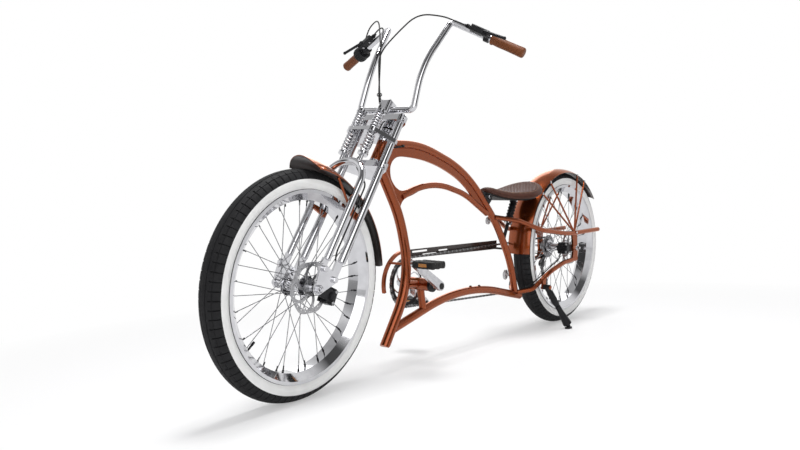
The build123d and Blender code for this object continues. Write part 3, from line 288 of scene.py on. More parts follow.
# Shapes
class Shape:
    """One piece in the upright bicycle's millimetres, with a material slot for each face."""

    def __init__(self):
        self.verts = []
        self.faces = []
        self.slots = []

    def grid(self, rows, slot=0, ring=False, caps=False):
        """Rows of points joined by quads; each row is closed, and with ring the rows are too."""
        start, width = len(self.verts), len(rows[0])
        for row in rows:
            self.verts.extend(row)
        for i in range(len(rows) if ring else len(rows) - 1):
            for j in range(width):
                low, high = start + i * width, start + (i + 1) % len(rows) * width
                after = (j + 1) % width
                self.faces.append((low + j, low + after, high + after, high + j))
                self.slots.append(slot(i, j) if callable(slot) else slot)
        if caps:
            last = start + (len(rows) - 1) * width
            self.faces += [tuple(range(start, start + width)), tuple(range(last, last + width))]
            self.slots += [0 if callable(slot) else slot] * 2

    def lathe(self, origin, axis, profile, sides=24, slot=0, ring=False):
        """A turned form from rows of distance along the axis and radius, capped, or a ring with a bore."""
        axis = Vector(axis).normalized()
        side = axis.orthogonal().normalized()
        other = axis.cross(side)
        turns = [2 * pi * k / sides for k in range(sides)]
        self.grid([[Vector(origin) + axis * a + (side * cos(t) + other * sin(t)) * r for t in turns]
                   for a, r in profile], slot, ring, not ring)

    def tube(self, path, r, sides=10, slot=0):
        path = [Vector(p) for p in path]
        side = (path[1] - path[0]).orthogonal().normalized()
        rows = []
        for i, point in enumerate(path):
            along = (path[min(i + 1, len(path) - 1)] - path[max(i - 1, 0)]).normalized()
            side = (side - along * side.dot(along)).normalized()
            other = along.cross(side)
            rows.append([point + (side * cos(2 * pi * k / sides) + other * sin(2 * pi * k / sides)) * r
                         for k in range(sides)])
        self.grid(rows, slot, caps=True)

    def plate(self, outline, low, high, to_space, slot=0, hole=None):
        """A flat plate from its outline; a hole has as many points as the outline."""
        rings = [[to_space(u, v, w) for u, v in edge] for edge, w in
                 ([(outline, low), (outline, high)] if hole is None else
                  [(outline, low), (outline, high), (hole, high), (hole, low)])]
        self.grid(rings, slot, ring=hole is not None, caps=hole is None)

    def block(self, centre, axes, sizes, edge, slot=0):
        """A block with chamfered edges."""
        x, y, z = (Vector(a).normalized() for a in axes)
        a, b, c = (s / 2 for s in sizes)
        rows = []
        for depth, inset in ((-c, edge), (-c + edge, 0), (c - edge, 0), (c, edge)):
            p, q = a - inset, b - inset
            corners = [(p, q - edge), (p - edge, q), (edge - p, q), (-p, q - edge),
                       (-p, edge - q), (edge - p, -q), (p - edge, -q), (p, edge - q)]
            rows.append([Vector(centre) + x * u + y * v + z * depth for u, v in corners])
        self.grid(rows, slot, caps=True)

    def make(self, name, body, materials, crease=35, rides=True):
        """The finished piece, placed with a body and riding on it."""
        mesh = bpy.data.meshes.new(name)
        mesh.from_pydata([PLACES[body] @ Vector(v) for v in self.verts], [], self.faces)
        for mat in materials:
            mesh.materials.append(mat)
        mesh.polygons.foreach_set("material_index", self.slots)
        mesh.polygons.foreach_set("use_smooth", [True] * len(self.faces))
        solid = bmesh.new()
        solid.from_mesh(mesh)
        bmesh.ops.recalc_face_normals(solid, faces=solid.faces)
        solid.to_mesh(mesh)
        solid.free()
        mesh.set_sharp_from_angle(angle=radians(crease))
        piece = bpy.data.objects.new(name, mesh)
        scene.collection.objects.link(piece)
        if rides:
            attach(piece, body)
        return piece


def in_plane(u, v, w):
    """A place in the bicycle's plane, moved across it."""
    return Vector((u, w, v))


def hex_head(shape, origin, axis, r, height, slot=0):
    shape.lathe(origin, axis, [(0, r), (height * 0.8, r), (height, r * 0.88)], 6, slot)


# Tyres: white walls and a black tread with long grooves and shoulder sipes
SIPES = 84
SIPE_ROWS = (
    # place of a row of points between two sipes, and whether it lies in the sipe
    (0.0, False), (0.05, True), (0.1, True), (0.15, False), (0.45, False), (0.75, False),
)
SIPE_FROM, SIPE_TO = 24, 69
SIPE_DEPTH = 3.2
WHITE_FROM = 70
GROOVES = ((12.5, 1.3, 2.8), (37.5, 1.3, 1.4))
RIM_EDGE_R = 287.5


def tread_depth(phi, cut):
    """How deep the tread lies at an angle across the tyre, in a sipe or between two."""
    for middle, half, depth in GROOVES:
        if abs(abs(phi) - middle) < half:
            return depth
    return SIPE_DEPTH if cut and SIPE_FROM < abs(phi) < SIPE_TO else 0.0


def tyre(name, body, axle):
    cross = [(280, 36), (RIM_EDGE_R, 36.5), (289.5, 37.6), (295, 40.4)]
    angles = [90 - 180 * k / 72 for k in range(73)]
    centre_r = TYRE_R - TYRE_CROWN_R
    count = 2 * len(cross) + len(angles)
    rows = []
    for place, cut in ((i + share, cut) for i in range(SIPES) for share, cut in SIPE_ROWS):
        turn = 2 * pi * place / SIPES
        section = list(cross)
        for phi in angles:
            r = TYRE_CROWN_R - tread_depth(phi, cut)
            section.append((centre_r + r * cos(radians(phi)), r * sin(radians(phi))))
        section += [(r, -y) for r, y in reversed(cross)]
        rows.append([axle + Vector((r * cos(turn), y, r * sin(turn))) for r, y in section])

    def wall(i, j):
        rank = min(j, count - 2 - j)
        if rank < len(cross):
            return 1 if rank else 0
        return 1 if abs(angles[j - len(cross)]) > WHITE_FROM else 0

    shape = Shape()
    shape.grid(rows, wall, ring=True)
    piece = shape.make(name, body, [RUBBER, WHITE_RUBBER], 30)
    return piece


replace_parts(tyre("front_tread_tyre", "front_wheel", FRONT_AXLE), "front_tyre")
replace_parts(tyre("rear_tread_tyre", "rear_wheel", REAR_AXLE), "rear_tyre")

# Wheel trim: spoke nipples, valve stem and rotor bolts
SPOKES = 36
NIPPLE_END_R = 254.2


def wheel_trim(name, body, axle, rotor_y, valve_turn):
    shape = Shape()
    for i in range(SPOKES):
        side, lead = (1 if i % 2 else -1), (1 if (i // 2) % 2 else -1)
        turn = 2 * pi * i / SPOKES
        outward = Vector((cos(turn), 0, sin(turn)))
        foot = axle + outward * NIPPLE_END_R + ACROSS * (side * 8 + lead * 1.8)
        shape.lathe(foot, -outward, [(0, 3.4), (3, 3.2), (5, 2.2), (16, 1.9)], 8, 0)
    outward = Vector((cos(radians(valve_turn)), 0, sin(radians(valve_turn))))
    stem = axle + outward * 254
    shape.lathe(stem, -outward, [(0, 5), (4, 4.6), (5, 3.2), (24, 3.2), (25, 4), (36, 4), (38, 2.8)], 12, 0)
    for k in range(6):
        turn = 2 * pi * k / 6
        place = axle + Vector((21 * cos(turn), rotor_y + 1, 21 * sin(turn)))
        hex_head(shape, place, ACROSS, 3.6, 2.6, 1)
    return shape.make(name, body, [BLACK_METAL, STEEL])


wheel_trim("front_wheel_trim", "front_wheel", FRONT_AXLE, 52, 320)
wheel_trim("rear_wheel_trim", "rear_wheel", REAR_AXLE, 62, 285)

# Front fender: a shell whose front end lifts into a visor
FENDER_R = TYRE_R + 12
FENDER_HALF_W = 52.0
FENDER_DROP = 16.0
FENDER_FROM, FENDER_TO = 90.4, 176
FENDER_STEPS = 120
VISOR_LIFT = 26.0
VISOR_FLARE = 12.0
VISOR_FROM = 132


def fender_point(share, across, depth):
    """A point of the fender: share of its length, place across it from -1 to 1, and depth below its skin."""
    first = FENDER_FROM + 3.6 * abs(across) ** 3
    last = FENDER_TO - 1.5 * abs(across) ** 3
    angle = first + (last - first) * share
    rise = max(0.0, (VISOR_FROM - angle) / (VISOR_FROM - FENDER_FROM))
    lift = VISOR_LIFT * rise ** 1.4 * (1 - 0.7 * across ** 2)
    r = FENDER_R + lift - FENDER_DROP * across ** 2 + 2 - depth
    half_w = FENDER_HALF_W + VISOR_FLARE * rise ** 2
    return FRONT_AXLE + Vector((r * cos(radians(angle)), half_w * across, r * sin(radians(angle))))


def front_fender():
    skin = [k / 16 - 1 for k in range(33)]
    section = [(a, 0.0) for a in skin] + [(1.02, 1.0), (1.02, 3.0)] + [(a, 2.4) for a in reversed(skin)]
    section += [(-1.02, 3.0), (-1.02, 1.0)]
    shape = Shape()
    inner = range(len(skin) + 1, 2 * len(skin) + 2)
    shape.grid([[fender_point(i / FENDER_STEPS, a, d) for a, d in section] for i in range(FENDER_STEPS + 1)],
               lambda i, j: 1 if j in inner else 0, caps=True)
    piece = shape.make("visor_fender", "steering", [COPPER, BROWN], 40)
    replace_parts(piece, "front_fender")


front_fender()

# Saddle: a padded cover with diamond quilting inside a stitched rim
SEAT_LINE = ((240, 676), (450, 602), (630, 645))
LOBE = (378, 115)
NOSE = (576, 34)
SADDLE_T = 26.0
SADDLE_MIDDLE_X = 440.0
QUILT = 15.0
RIM_SHARE = 0.86


def circle_through(a, b, c):
    """Centre and radius of the circle through three points."""
    d = 2 * (a[0] * (b[1] - c[1]) + b[0] * (c[1] - a[1]) + c[0] * (a[1] - b[1]))
    squares = [x * x + z * z for x, z in (a, b, c)]
    x = (squares[0] * (b[1] - c[1]) + squares[1] * (c[1] - a[1]) + squares[2] * (a[1] - b[1])) / d
    z = (squares[0] * (c[0] - b[0]) + squares[1] * (a[0] - c[0]) + squares[2] * (b[0] - a[0])) / d
    return x, z, hypot(a[0] - x, a[1] - z)


SEAT_X, SEAT_Z, SEAT_R = circle_through(*SEAT_LINE)


def seat_height(x):
    return SEAT_Z - sqrt(SEAT_R ** 2 - (x - SEAT_X) ** 2)


def saddle_edge(turn):
    """A point of the saddle's plan: two circles with the tangents between them."""
    (lobe_x, lobe_r), (nose_x, nose_r) = LOBE, NOSE
    lean = asin((lobe_r - nose_r) / (nose_x - lobe_x))
    half = pi / 2 - lean
    reach = (nose_x - lobe_x) * cos(lean)
    arcs = (nose_r * half, reach, lobe_r * (pi - half))
    side = 1 if turn >= 0 else -1
    along = abs(turn) * sum(arcs)
    if along < arcs[0]:
        a = along / nose_r
        return nose_x + nose_r * cos(a), side * nose_r * sin(a)
    if along < arcs[0] + arcs[1]:
        t = (along - arcs[0]) / arcs[1]
        r = nose_r + (lobe_r - nose_r) * t
        return nose_x + (lobe_x - nose_x) * t + r * cos(half), side * r * sin(half)
    a = half + (along - arcs[0] - arcs[1]) / lobe_r
    return lobe_x + lobe_r * cos(a), side * lobe_r * sin(a)


def quilted(x, y):
    """Height of the padding between the seams of a diamond pattern, from 0 to 1."""
    first = abs(sin(pi * (x * 0.6 + y) / QUILT))
    second = abs(sin(pi * (x * 0.6 - y) / QUILT))
    return min(first, second) ** 0.45


def edge_drop(share):
    """How far the cover rolls down near its edge, at a share of the way out."""
    return SADDLE_T * 0.55 * max(0.0, (share - 0.8) / 0.2) ** 2.2


def toward_edge(edge, share):
    x, y = edge
    return SADDLE_MIDDLE_X + (x - SADDLE_MIDDLE_X) * share, y * share


def saddle():
    ring = [saddle_edge(2 * k / 360 - 1) for k in range(360)]
    shares = [k / 110 for k in range(1, 97)] + [0.885, 0.905, 0.93, 0.955, 0.975, 0.99, 1.0]
    rows = []
    for share in shares:
        row = []
        for edge in ring:
            x, y = toward_edge(edge, share)
            crown = 2.2 * (1 - share ** 4)
            if share < RIM_SHARE:
                crown += 2.6 * quilted(x, y) - 2.0
            elif share < 0.9:
                crown -= 1.6
            row.append(Vector((x, y, seat_height(x) - edge_drop(share) + crown)))
        rows.append(row)
    for share, depth in ((1.0, 0.8), (0.985, 0.92), (0.95, 1.0), (0.6, 1.0), (0.05, 1.0)):
        row = []
        for edge in ring:
            x, y = toward_edge(edge, share)
            row.append(Vector((x, y, seat_height(x) - SADDLE_T * depth)))
        rows.append(row)
    shape = Shape()
    shape.grid(rows, 0, caps=True)
    piece = shape.make("quilted_saddle", "frame", [SADDLE_LEATHER], 60)
    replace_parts(piece, "saddle")
    stitches = Shape()
    count = 190
    for share, lift in ((0.875, -0.6), (0.972, -6.2)):
        for k in range(count):
            ends = []
            for part in (0.18, 0.5, 0.82):
                x, y = toward_edge(saddle_edge(2 * (k + part) / count - 1), share)
                ends.append((x, y, seat_height(x) - edge_drop(share) + lift + 0.9 * sin(pi * part) + 0.8))
            stitches.tube(ends, 0.7, 5)
    seam = stitches.make("saddle_stitching", "frame", [STITCH])


saddle()

# Grips with a flange, a swell and a rounded end
BAR_TOP = Vector((1020.9, 133, 1195.2))
BAR_END = Vector((967.9, 380, 1080.2))
GRIP_DIR = (BAR_END - BAR_TOP).normalized()
GRIP_L = 118.0
SHIFTER_L = 34.0
GRIP_PROFILE = ((0, 12), (0, 17.6), (2.5, 18.2), (6, 17.4), (9, 15.6), (30, 16.6), (60, 16.2), (95, 16.8),
                (112, 17.4), (118, 17.0), (121, 14.5), (122, 9))
SHORT_PROFILE = ((0, 12), (0, 17.6), (2.5, 18), (6, 16.2), (30, 16.6), (60, 16.4), (78, 17.4), (84, 17),
                 (87, 14.5), (88, 9))
GRIP_START = BAR_END - GRIP_DIR * GRIP_L
grips = Shape()
grips.lathe(GRIP_START, GRIP_DIR, GRIP_PROFILE, 40)
right_dir = mirrored(GRIP_DIR)
grips.lathe(mirrored(GRIP_START) + right_dir * (SHIFTER_L + 0.3), right_dir, SHORT_PROFILE, 40)
grip_piece = grips.make("moulded_grips", "steering", [GRIP_LEATHER])
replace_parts(grip_piece, "grips")

# Controls: ribs of the twist shifter, pivot bolts and barrel adjusters of the levers
AHEAD = Vector((0.9, 0, 0.436))
LEVER_PLACE = GRIP_START - GRIP_DIR * 26
DRUM_RIBS = 24
DRUM_RIB = ((10, 25.4), (20, 26.4), (32, 25.4))
controls = Shape()
drum = mirrored(GRIP_START)
for k in range(DRUM_RIBS):
    turn = 2 * pi * k / DRUM_RIBS
    side = right_dir.orthogonal().normalized()
    out = side * cos(turn) + right_dir.cross(side) * sin(turn)
    controls.tube([drum + out * r + right_dir * a for a, r in DRUM_RIB], 1.6, 6, 0)
controls.lathe(drum + right_dir * -1.5, right_dir, [(0, 24), (0, 27.2), (8, 27.2), (9, 25)], 40, 0)
for flip in (False, True):
    place, along, ahead = LEVER_PLACE, GRIP_DIR, AHEAD
    if flip:
        place, along = mirrored(place), mirrored(along)
    upward = along.cross(ahead).normalized() * (-1 if flip else 1)
    body = place - along * 17 + ahead * 23
    hex_head(controls, body + along * 24 + upward * 11, upward, 5, 3, 1)
    hex_head(controls, body - along * 14 + upward * 11, upward, 3.6, 2.4, 1)
    controls.lathe(body - along * 33, -along,
                   [(0, 7), (3, 7), (4, 5.6), (12, 5.6), (13, 4.4), (20, 3.6)], 14, 0)
    for k in range(3):
        controls.lathe(body - along * (35.5 + 3 * k), -along, [(0, 7.4), (1.4, 7.4)], 16, 0)
    controls.lathe(place + along * 8 - ahead * 17.4, -ahead, [(0, 4), (3, 4), (4, 3)], 10, 1)
controls.make("control_details", "steering", [BLACK_METAL, STEEL])

# Fork fasteners: steerer nut, clamp and crown bolts, rod caps, rocker pins and axle nuts
stem = Shape()
hex_head(stem, steer_point(0, 0, 648), UP, 19, 9, 0)
stem.lathe(steer_point(0, 0, 657), UP, [(0, 13), (5, 12), (7, 8)], 24, 0)
for p in (36, 68):
    for y in (17, -17):
        stem.lathe(steer_point(p, y, 702), UP, [(0, 4.8), (4, 4.8), (5, 3.8)], 16, 0)
for y in (78, -78):
    stem.lathe(steer_point(50, y, 648), UP, [(0, 12.6), (4, 12.6), (9, 9), (11, 4)], 24, 0)
    for s in (457, 637):
        side = 1 if y > 0 else -1
        stem.lathe(steer_point(58, y + side * 17.5, s), ACROSS * side, [(0, 5), (4, 5), (5, 4)], 14, 0)
for y in (40, -40):
    hex_head(stem, steer_point(112, y, 630), UP, 10, 8, 0)
for side in (1, -1):
    for p, s in ((118, 60), (61, 52)):
        hex_head(stem, steer_point(p, side * 94, s), ACROSS * side, 9.6, 4, 0)
    nut = FRONT_AXLE + ACROSS * (side * 88)
    hex_head(stem, nut, ACROSS * side, 12.6, 9, 0)
    stem.lathe(nut + ACROSS * (side * 9), ACROSS * side, [(0, 6.4), (5, 6.4), (5.6, 5)], 16, 0)
stem.make("fork_fasteners", "steering", [CHROME])

# Headset cups at both ends of the head tube
CUP_PROFILE = ((0.4, 18), (0.4, 25), (2, 26.4), (13, 26.4), (16, 24.2), (34, 24.2), (36, 22.1), (36, 18))
cups = Shape()
for end, sense in ((624, -1), (470, 1)):
    cups.lathe(steer_point(0, 0, end), UP * sense, CUP_PROFILE, 40, ring=True)
cups.make("headset_cups", "frame", [CHROME])


# Calipers: knobs, ribs, ears, fins and bolts about each block
def caliper_trim(name, body, axle, angle, low, high):
    out = Vector((cos(radians(angle)), 0, sin(radians(angle))))
    along = Vector((-out.z, 0, out.x))
    middle = axle + out * 74
    half_way = middle + ACROSS * ((low + high) / 2)
    axes = (out, along, ACROSS)
    shape = Shape()
    shape.lathe(middle + ACROSS * high, ACROSS, [(-2, 14), (2, 14), (3, 12.5), (6, 12.5), (7, 10)], 24, 0)
    shape.lathe(middle + ACROSS * low, -ACROSS, [(-2, 15), (4, 15), (5.5, 13), (8, 12), (9, 6)], 24, 0)
    for k in range(10):
        turn = 2 * pi * k / 10
        rib = middle - ACROSS * (6 - low) + (out * cos(turn) + along * sin(turn)) * 13.4
        shape.lathe(rib, -ACROSS, [(0, 1.8), (3, 1.8), (3.6, 1)], 8, 0)
    for lead in (1, -1):
        shape.block(half_way + along * (lead * 21), axes, (31, 9, high - low + 3), 3, 0)
        bolt = middle + out * 9 + along * (lead * 17) + ACROSS * high
        shape.lathe(bolt, ACROSS, [(0, 5), (3.4, 5), (4.4, 4)], 14, 1)
    for k in range(4):
        shape.block(half_way + out * 19 + along * (8 * k - 12), axes, (5, 4, high - low - 6), 1.2, 0)
    return shape.make(name, body, [BLACK_METAL, STEEL])


caliper_trim("front_caliper_trim", "steering", FRONT_AXLE, 205, 48, 79.7)
caliper_trim("rear_caliper_trim", "frame", REAR_AXLE, 2, 51, 84)

# Side stand: a sleeve and a flared boot on the leg
hip, toe = Vector((274, 98, 196)), Vector((186, 156, 22))
leg = toe - hip
stand = Shape()
stand.lathe(hip, leg, [(26, 9), (26, 13.4), (28, 14.4), (84, 14.4), (87, 13), (92, 12.6), (94, 9)], 24, 0)
stand.lathe(hip, leg, [(96, 9), (98, 11.6), (128, 12.4), (150, 15), (186, 19), (192, 19), (195, 12)], 24, 0)
stand.make("stand_sleeves", "stand", [BLACK_METAL])

# Derailleur: toothed pulleys with their bolts
RING_TEETH, COG_TEETH, PULLEY_TEETH = 44, 20, 11
PULLEY_PLACES = ((26.0, 264.0), (6.0, 174.0))
CHAIN_Y = -62.0
pulleys = Shape()
for x, z in PULLEY_PLACES:
    teeth = []
    for k in range(PULLEY_TEETH):
        for part, r in ((0.0, 16), (0.3, 19.4), (0.5, 20.4), (0.7, 19.4)):
            turn = 2 * pi * (k + part) / PULLEY_TEETH
            teeth.append((x + r * cos(turn), z + r * sin(turn)))
    pulleys.plate(teeth, CHAIN_Y - 1, CHAIN_Y + 1, in_plane, 0)
    hex_head(pulleys, (x, -70, z), -ACROSS, 4.6, 3, 1)
pulleys.make("derailleur_pulleys", "frame", [BLACK_PLASTIC, STEEL])

# Frame fasteners: rear axle nuts, fender bolts and bottle bosses
bolts = Shape()
for side in (1, -1):
    hex_head(bolts, REAR_AXLE + ACROSS * (side * 92), ACROSS * side, 12.6, 9, 0)
    bolts.lathe((6, side * 95, 415), ACROSS * side, [(0, 8), (3, 8), (4.5, 6)], 16, 1)
    hex_head(bolts, (6, side * 99, 415), ACROSS * side, 5.4, 4, 0)
    for angle in (47, 61, 105, 118):
        r = FENDER_R - FENDER_DROP
        edge = REAR_AXLE + Vector((r * cos(radians(angle)), side * 53.5, r * sin(radians(angle))))
        bolts.lathe(edge, ACROSS * side, [(0, 5.5), (2.6, 5.5), (3.6, 4)], 12, 0)
for x, z in ((703, 236), (643, 232)):
    bolts.lathe((x, 0, z), (0, 0, 1), [(-3, 6.5), (3.6, 6), (4.2, 4)], 14, 1)
    bolts.lathe((x, 0, z + 3), (0, 0, 1), [(0, 4.6), (3, 4.6), (3.6, 3.4)], 12, 2)
bolts.make("frame_fasteners", "frame", [CHROME, COPPER, BLACK_METAL])

# Chain: side plates and rollers along the loop of chainring, cog and pulleys
PITCH_LINK = 12.7
LINK_R = 4.1
LINK_WAIST = 3.0
PIN_PROFILE = ((0, 1.7), (1.9, 1.7), (1.95, 3.7), (4.65, 3.7), (4.7, 1.7), (6.6, 1.7))


def pitch_radius(teeth):
    return PITCH_LINK / 2 / sin(pi / teeth)


CHAIN_CIRCLES = (
    # centre x, centre z, pitch radius with the turning sense
    (BB.x, BB.z, pitch_radius(RING_TEETH)),
    (0.0, TYRE_R, pitch_radius(COG_TEETH)),
    (*PULLEY_PLACES[0], -pitch_radius(PULLEY_TEETH)),
    (*PULLEY_PLACES[1], pitch_radius(PULLEY_TEETH)),
)


def chain_pins():
    """Pin centres at even steps along the chain's pitch line."""
    following = CHAIN_CIRCLES[1:] + CHAIN_CIRCLES[:1]
    leave = [atan2(z2 - z, x2 - x) - asin((r2 - r) / hypot(x2 - x, z2 - z))
             for (x, z, r), (x2, z2, r2) in zip(CHAIN_CIRCLES, following)]
    line = []
    for (x, z, r), start, end in zip(CHAIN_CIRCLES, leave[-1:] + leave[:-1], leave):
        turn = (end - start) % (2 * pi) if r > 0 else -((start - end) % (2 * pi))
        steps = max(4, ceil(abs(turn) / 0.03))
        line += [Vector((x + r * sin(start + turn * k / steps), z - r * cos(start + turn * k / steps)))
                 for k in range(steps + 1)]
    line.append(line[0])
    lengths = [(b - a).length for a, b in zip(line, line[1:])]
    count = 2 * round(sum(lengths) / PITCH_LINK / 2)
    step = sum(lengths) / count
    pins, travelled, i = [], 0.0, 0
    for k in range(count):
        while travelled + lengths[i] < k * step:
            travelled += lengths[i]
            i += 1
        pins.append(line[i].lerp(line[i + 1], (k * step - travelled) / lengths[i]))
    return pins


def chain():
    shape = Shape()
    pins = chain_pins()
    for k, (a, b) in enumerate(zip(pins, pins[1:] + pins[:1])):
        along = (b - a).normalized()
        across = Vector((-along.y, along.x))
        link = []
        for centre, base in ((b, 0), (a, pi)):
            for t in (-pi / 2, -pi / 4, 0, pi / 4, pi / 2):
                q = centre + along * (LINK_R * cos(t + base)) + across * (LINK_R * sin(t + base))
                link.append((q.x, q.y))
        waist = (a + b) / 2
        link.insert(5, tuple(waist + across * LINK_WAIST))
        link.append(tuple(waist - across * LINK_WAIST))
        inner, outer = (1.3, 2.2) if k % 2 else (2.3, 3.2)
        for side in (1, -1):
            low, high = sorted((CHAIN_Y + side * inner, CHAIN_Y + side * outer))
            shape.plate(link, low, high, in_plane, k % 2)
        shape.lathe((a.x, CHAIN_Y - 3.3, a.y), ACROSS, PIN_PROFILE, 8, 1)
    piece = shape.make("roller_chain", "frame", [DARK_STEEL, STEEL])
    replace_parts(piece, "chain")


chain()

# Chainring: a black toothed ring on curved bright arms
RING_R = pitch_radius(RING_TEETH) - 4.8
TOOTH = (
    # place along a tooth's pitch, height above the ring
    (0.0, 0.0), (0.2, 0.4), (0.36, 4.4), (0.5, 5.6), (0.64, 4.4), (0.8, 0.4),
)
HUB_PROFILE = ((0, 12.2), (0, 27), (1, 28), (5, 28), (6, 27), (6, 12.2))


def ring_space(u, v, w):
    return Vector((BB.x + u, w, BB.z + v))


def chainring():
    shape = Shape()
    outline, hole = [], []
    for k in range(RING_TEETH):
        for part, height in TOOTH:
            turn, r = 2 * pi * (k + part) / RING_TEETH, RING_R + height
            outline.append((r * cos(turn), r * sin(turn)))
            hole.append(((RING_R - 12) * cos(turn), (RING_R - 12) * sin(turn)))
    shape.plate(outline, CHAIN_Y - 1.0, CHAIN_Y + 1.0, ring_space, 0, hole)
    for k in range(6):
        base = 2 * pi * k / 6
        upper, lower = [], []
        for i in range(13):
            t = i / 12
            r = 20 + (RING_R - 9 - 20) * t
            turn = base + radians(50) * (0.3 * t + 0.7 * t * t)
            half = (3.6 + 1.8 * (2 * t - 1) ** 2) / r
            upper.append((r * cos(turn + half), r * sin(turn + half)))
            lower.append((r * cos(turn - half), r * sin(turn - half)))
        shape.plate(upper + lower[::-1], CHAIN_Y - 2.2, CHAIN_Y + 1.4, ring_space, 1)
    shape.lathe((BB.x, CHAIN_Y - 3, BB.z), ACROSS, HUB_PROFILE, 40, 1, ring=True)
    piece = shape.make("toothed_chainring", "crankset", [BLACK_METAL, CHROME])
    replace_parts(piece, "chainring")


chainring()

# Crank caps
CRANK_ANGLE = 33
CRANK_L = 170
CRANK_CAP_Y = 97
CRANK_DIR = Vector((cos(radians(CRANK_ANGLE)), 0, sin(radians(CRANK_ANGLE))))
caps = Shape()
for side in (1, -1):
    centre = BB + ACROSS * (side * CRANK_CAP_Y)
    caps.lathe(centre, ACROSS * side, [(0, 11.5), (1.6, 11.5), (2.6, 9), (2.6, 4)], 28, 0)
    end = centre + CRANK_DIR * (side * CRANK_L)
    caps.lathe(end, ACROSS * side, [(0, 9.5), (1.4, 9.5), (2, 8)], 20, 1)
caps.make("crank_caps", "crankset", [BLACK_PLASTIC, STEEL])

# Pedals: two rails on a barrel with ribs and amber reflectors
BARREL_PROFILE = ((-22, 7), (0, 7), (0, 12), (4, 13), (86, 13), (92, 10), (93, 6))


def pedal(name, body, side):
    centre = BB + CRANK_DIR * (side * CRANK_L)
    inner = side * 105
    shape = Shape()
    axes = ((1, 0, 0), (0, 0, 1), (0, 1, 0))
    mid = centre + ACROSS * (inner + side * 46)
    shape.lathe(centre + ACROSS * inner, ACROSS * side, BARREL_PROFILE, 24, 0)
    for lead in (1, -1):
        shape.block(mid + Vector((lead * 26, 0, 0)), axes, (16, 23.5, 92), 4, 0)
        shape.block(mid + Vector((lead * 33.3, 0, 0)), axes, (2.4, 11, 34), 0.6, 1)
        for k in range(5):
            shape.block(mid + Vector((lead * 26, -36 + 18 * k, 0)), axes, (12, 24, 5), 1, 0)
    for k in (-1, 0, 1):
        shape.block(mid + Vector((0, 34 * k, 0)), axes, (50, 17, 8), 2, 0)
    shape.block(mid + Vector((0, side * 42, 0)), axes, (46, 19, 8), 3, 0)
    piece = shape.make(name, body, [BLACK_PLASTIC, AMBER], 30)
    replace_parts(piece, body)


pedal("platform_left", "pedal_left", 1)
pedal("platform_right", "pedal_right", -1)

# Gusset plate: the web behind the head, with its long tail smoothed into the rib
WEB_TOP = ((1215, 775), (1107, 778), (1018, 772), (936, 753), (871, 732), (808, 707), (747, 676), (692, 638),
           (640, 594), (590, 547))
WEB_FOOT = ((590, 522), (640, 547), (680, 569))
WEB_EDGE = ((694, 588), (740, 626), (805, 664), (898, 700), (985, 722), (1060, 732), (1129, 735), (1162, 725),
            (1180, 700), (1178, 664), (1162, 640), (1144, 626), (1124, 619), (1092, 622), (1054, 632),
            (1010, 642))
WEB_TOE = ((968, 642), (1016, 620), (1063, 603), (1098, 593), (1116, 583), (1127, 568), (1136, 545))
WEB_END = ((1140, 560), (1205, 660), (1240, 722))
WEB_HALF_T = 4.0


def rounded(points, steps=6):
    """A smooth line through points of a plane."""
    points = [Vector(p) for p in points]
    ends = [2 * points[0] - points[1]] + points + [2 * points[-1] - points[-2]]
    line = []
    for a, b, c, d in zip(ends, ends[1:], ends[2:], ends[3:]):
        for k in range(steps):
            t = k / steps
            line.append(0.5 * (2 * b + (c - a) * t + (2 * a - 5 * b + 4 * c - d) * t ** 2
                               + (3 * b - a - 3 * c + d) * t ** 3))
    return line + [points[-1]]


web = Shape()
web.plate(rounded(WEB_TOP, 3) + [Vector(p) for p in WEB_FOOT] + rounded(WEB_EDGE)
          + rounded(WEB_TOE) + [Vector(p) for p in WEB_END],
          -WEB_HALF_T, WEB_HALF_T, in_plane)
web_piece = web.make("gusset_web", "frame", [COPPER])
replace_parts(web_piece, "gusset_plate")

# Saddle mount: coil over the strut and a bolt through the hinge
mount = Shape()
low, high = Vector((430, 0, 475)), Vector((385, 0, 564))
axis = (high - low).normalized()
side = axis.orthogonal().normalized()
other = axis.cross(side)
COIL_TURNS, COIL_STEPS, COIL_R, COIL_WIRE_R = 7, 14, 14.5, 2.4
coil = []
for k in range(COIL_TURNS * COIL_STEPS + 1):
    turn = 2 * pi * k / COIL_STEPS
    middle = low.lerp(high, k / (COIL_TURNS * COIL_STEPS))
    coil.append(middle + (side * cos(turn) + other * sin(turn)) * COIL_R)
mount.tube(coil, COIL_WIRE_R, 7, 0)
for place in (low, high):
    mount.lathe(place - axis * 3, axis, [(0, 13), (0, 17), (5, 17), (6, 15), (6, 13)], 28, 1)
for flip in (1, -1):
    hex_head(mount, (585, flip * 9, 588), ACROSS * flip, 8, 5, 1)
mount.make("saddle_coil", "frame", [BLACK_METAL, CHROME])

# Pale round lenses on the right of the top tube
LENS_AXIS = (0.24, -0.97, 0.04)
LENS_CUP = ((29, 15), (31, 16.5), (36, 16.5))
LENS_FACE = ((35, 15.6), (38, 15.6), (41, 12), (42.5, 6))
lenses = Shape()
for x, z, wide in ((522, 487, 1.0), (388, 251, 1.3)):
    lenses.lathe((x, 0, z), LENS_AXIS, [(8, 6), (28, 6)] + [(a, r * wide) for a, r in LENS_CUP], 32, 0)
    lenses.lathe((x, 0, z), LENS_AXIS, [(a, r * wide) for a, r in LENS_FACE], 32, 0)
lenses.make("side_lenses", "frame", [PALE_LENS])

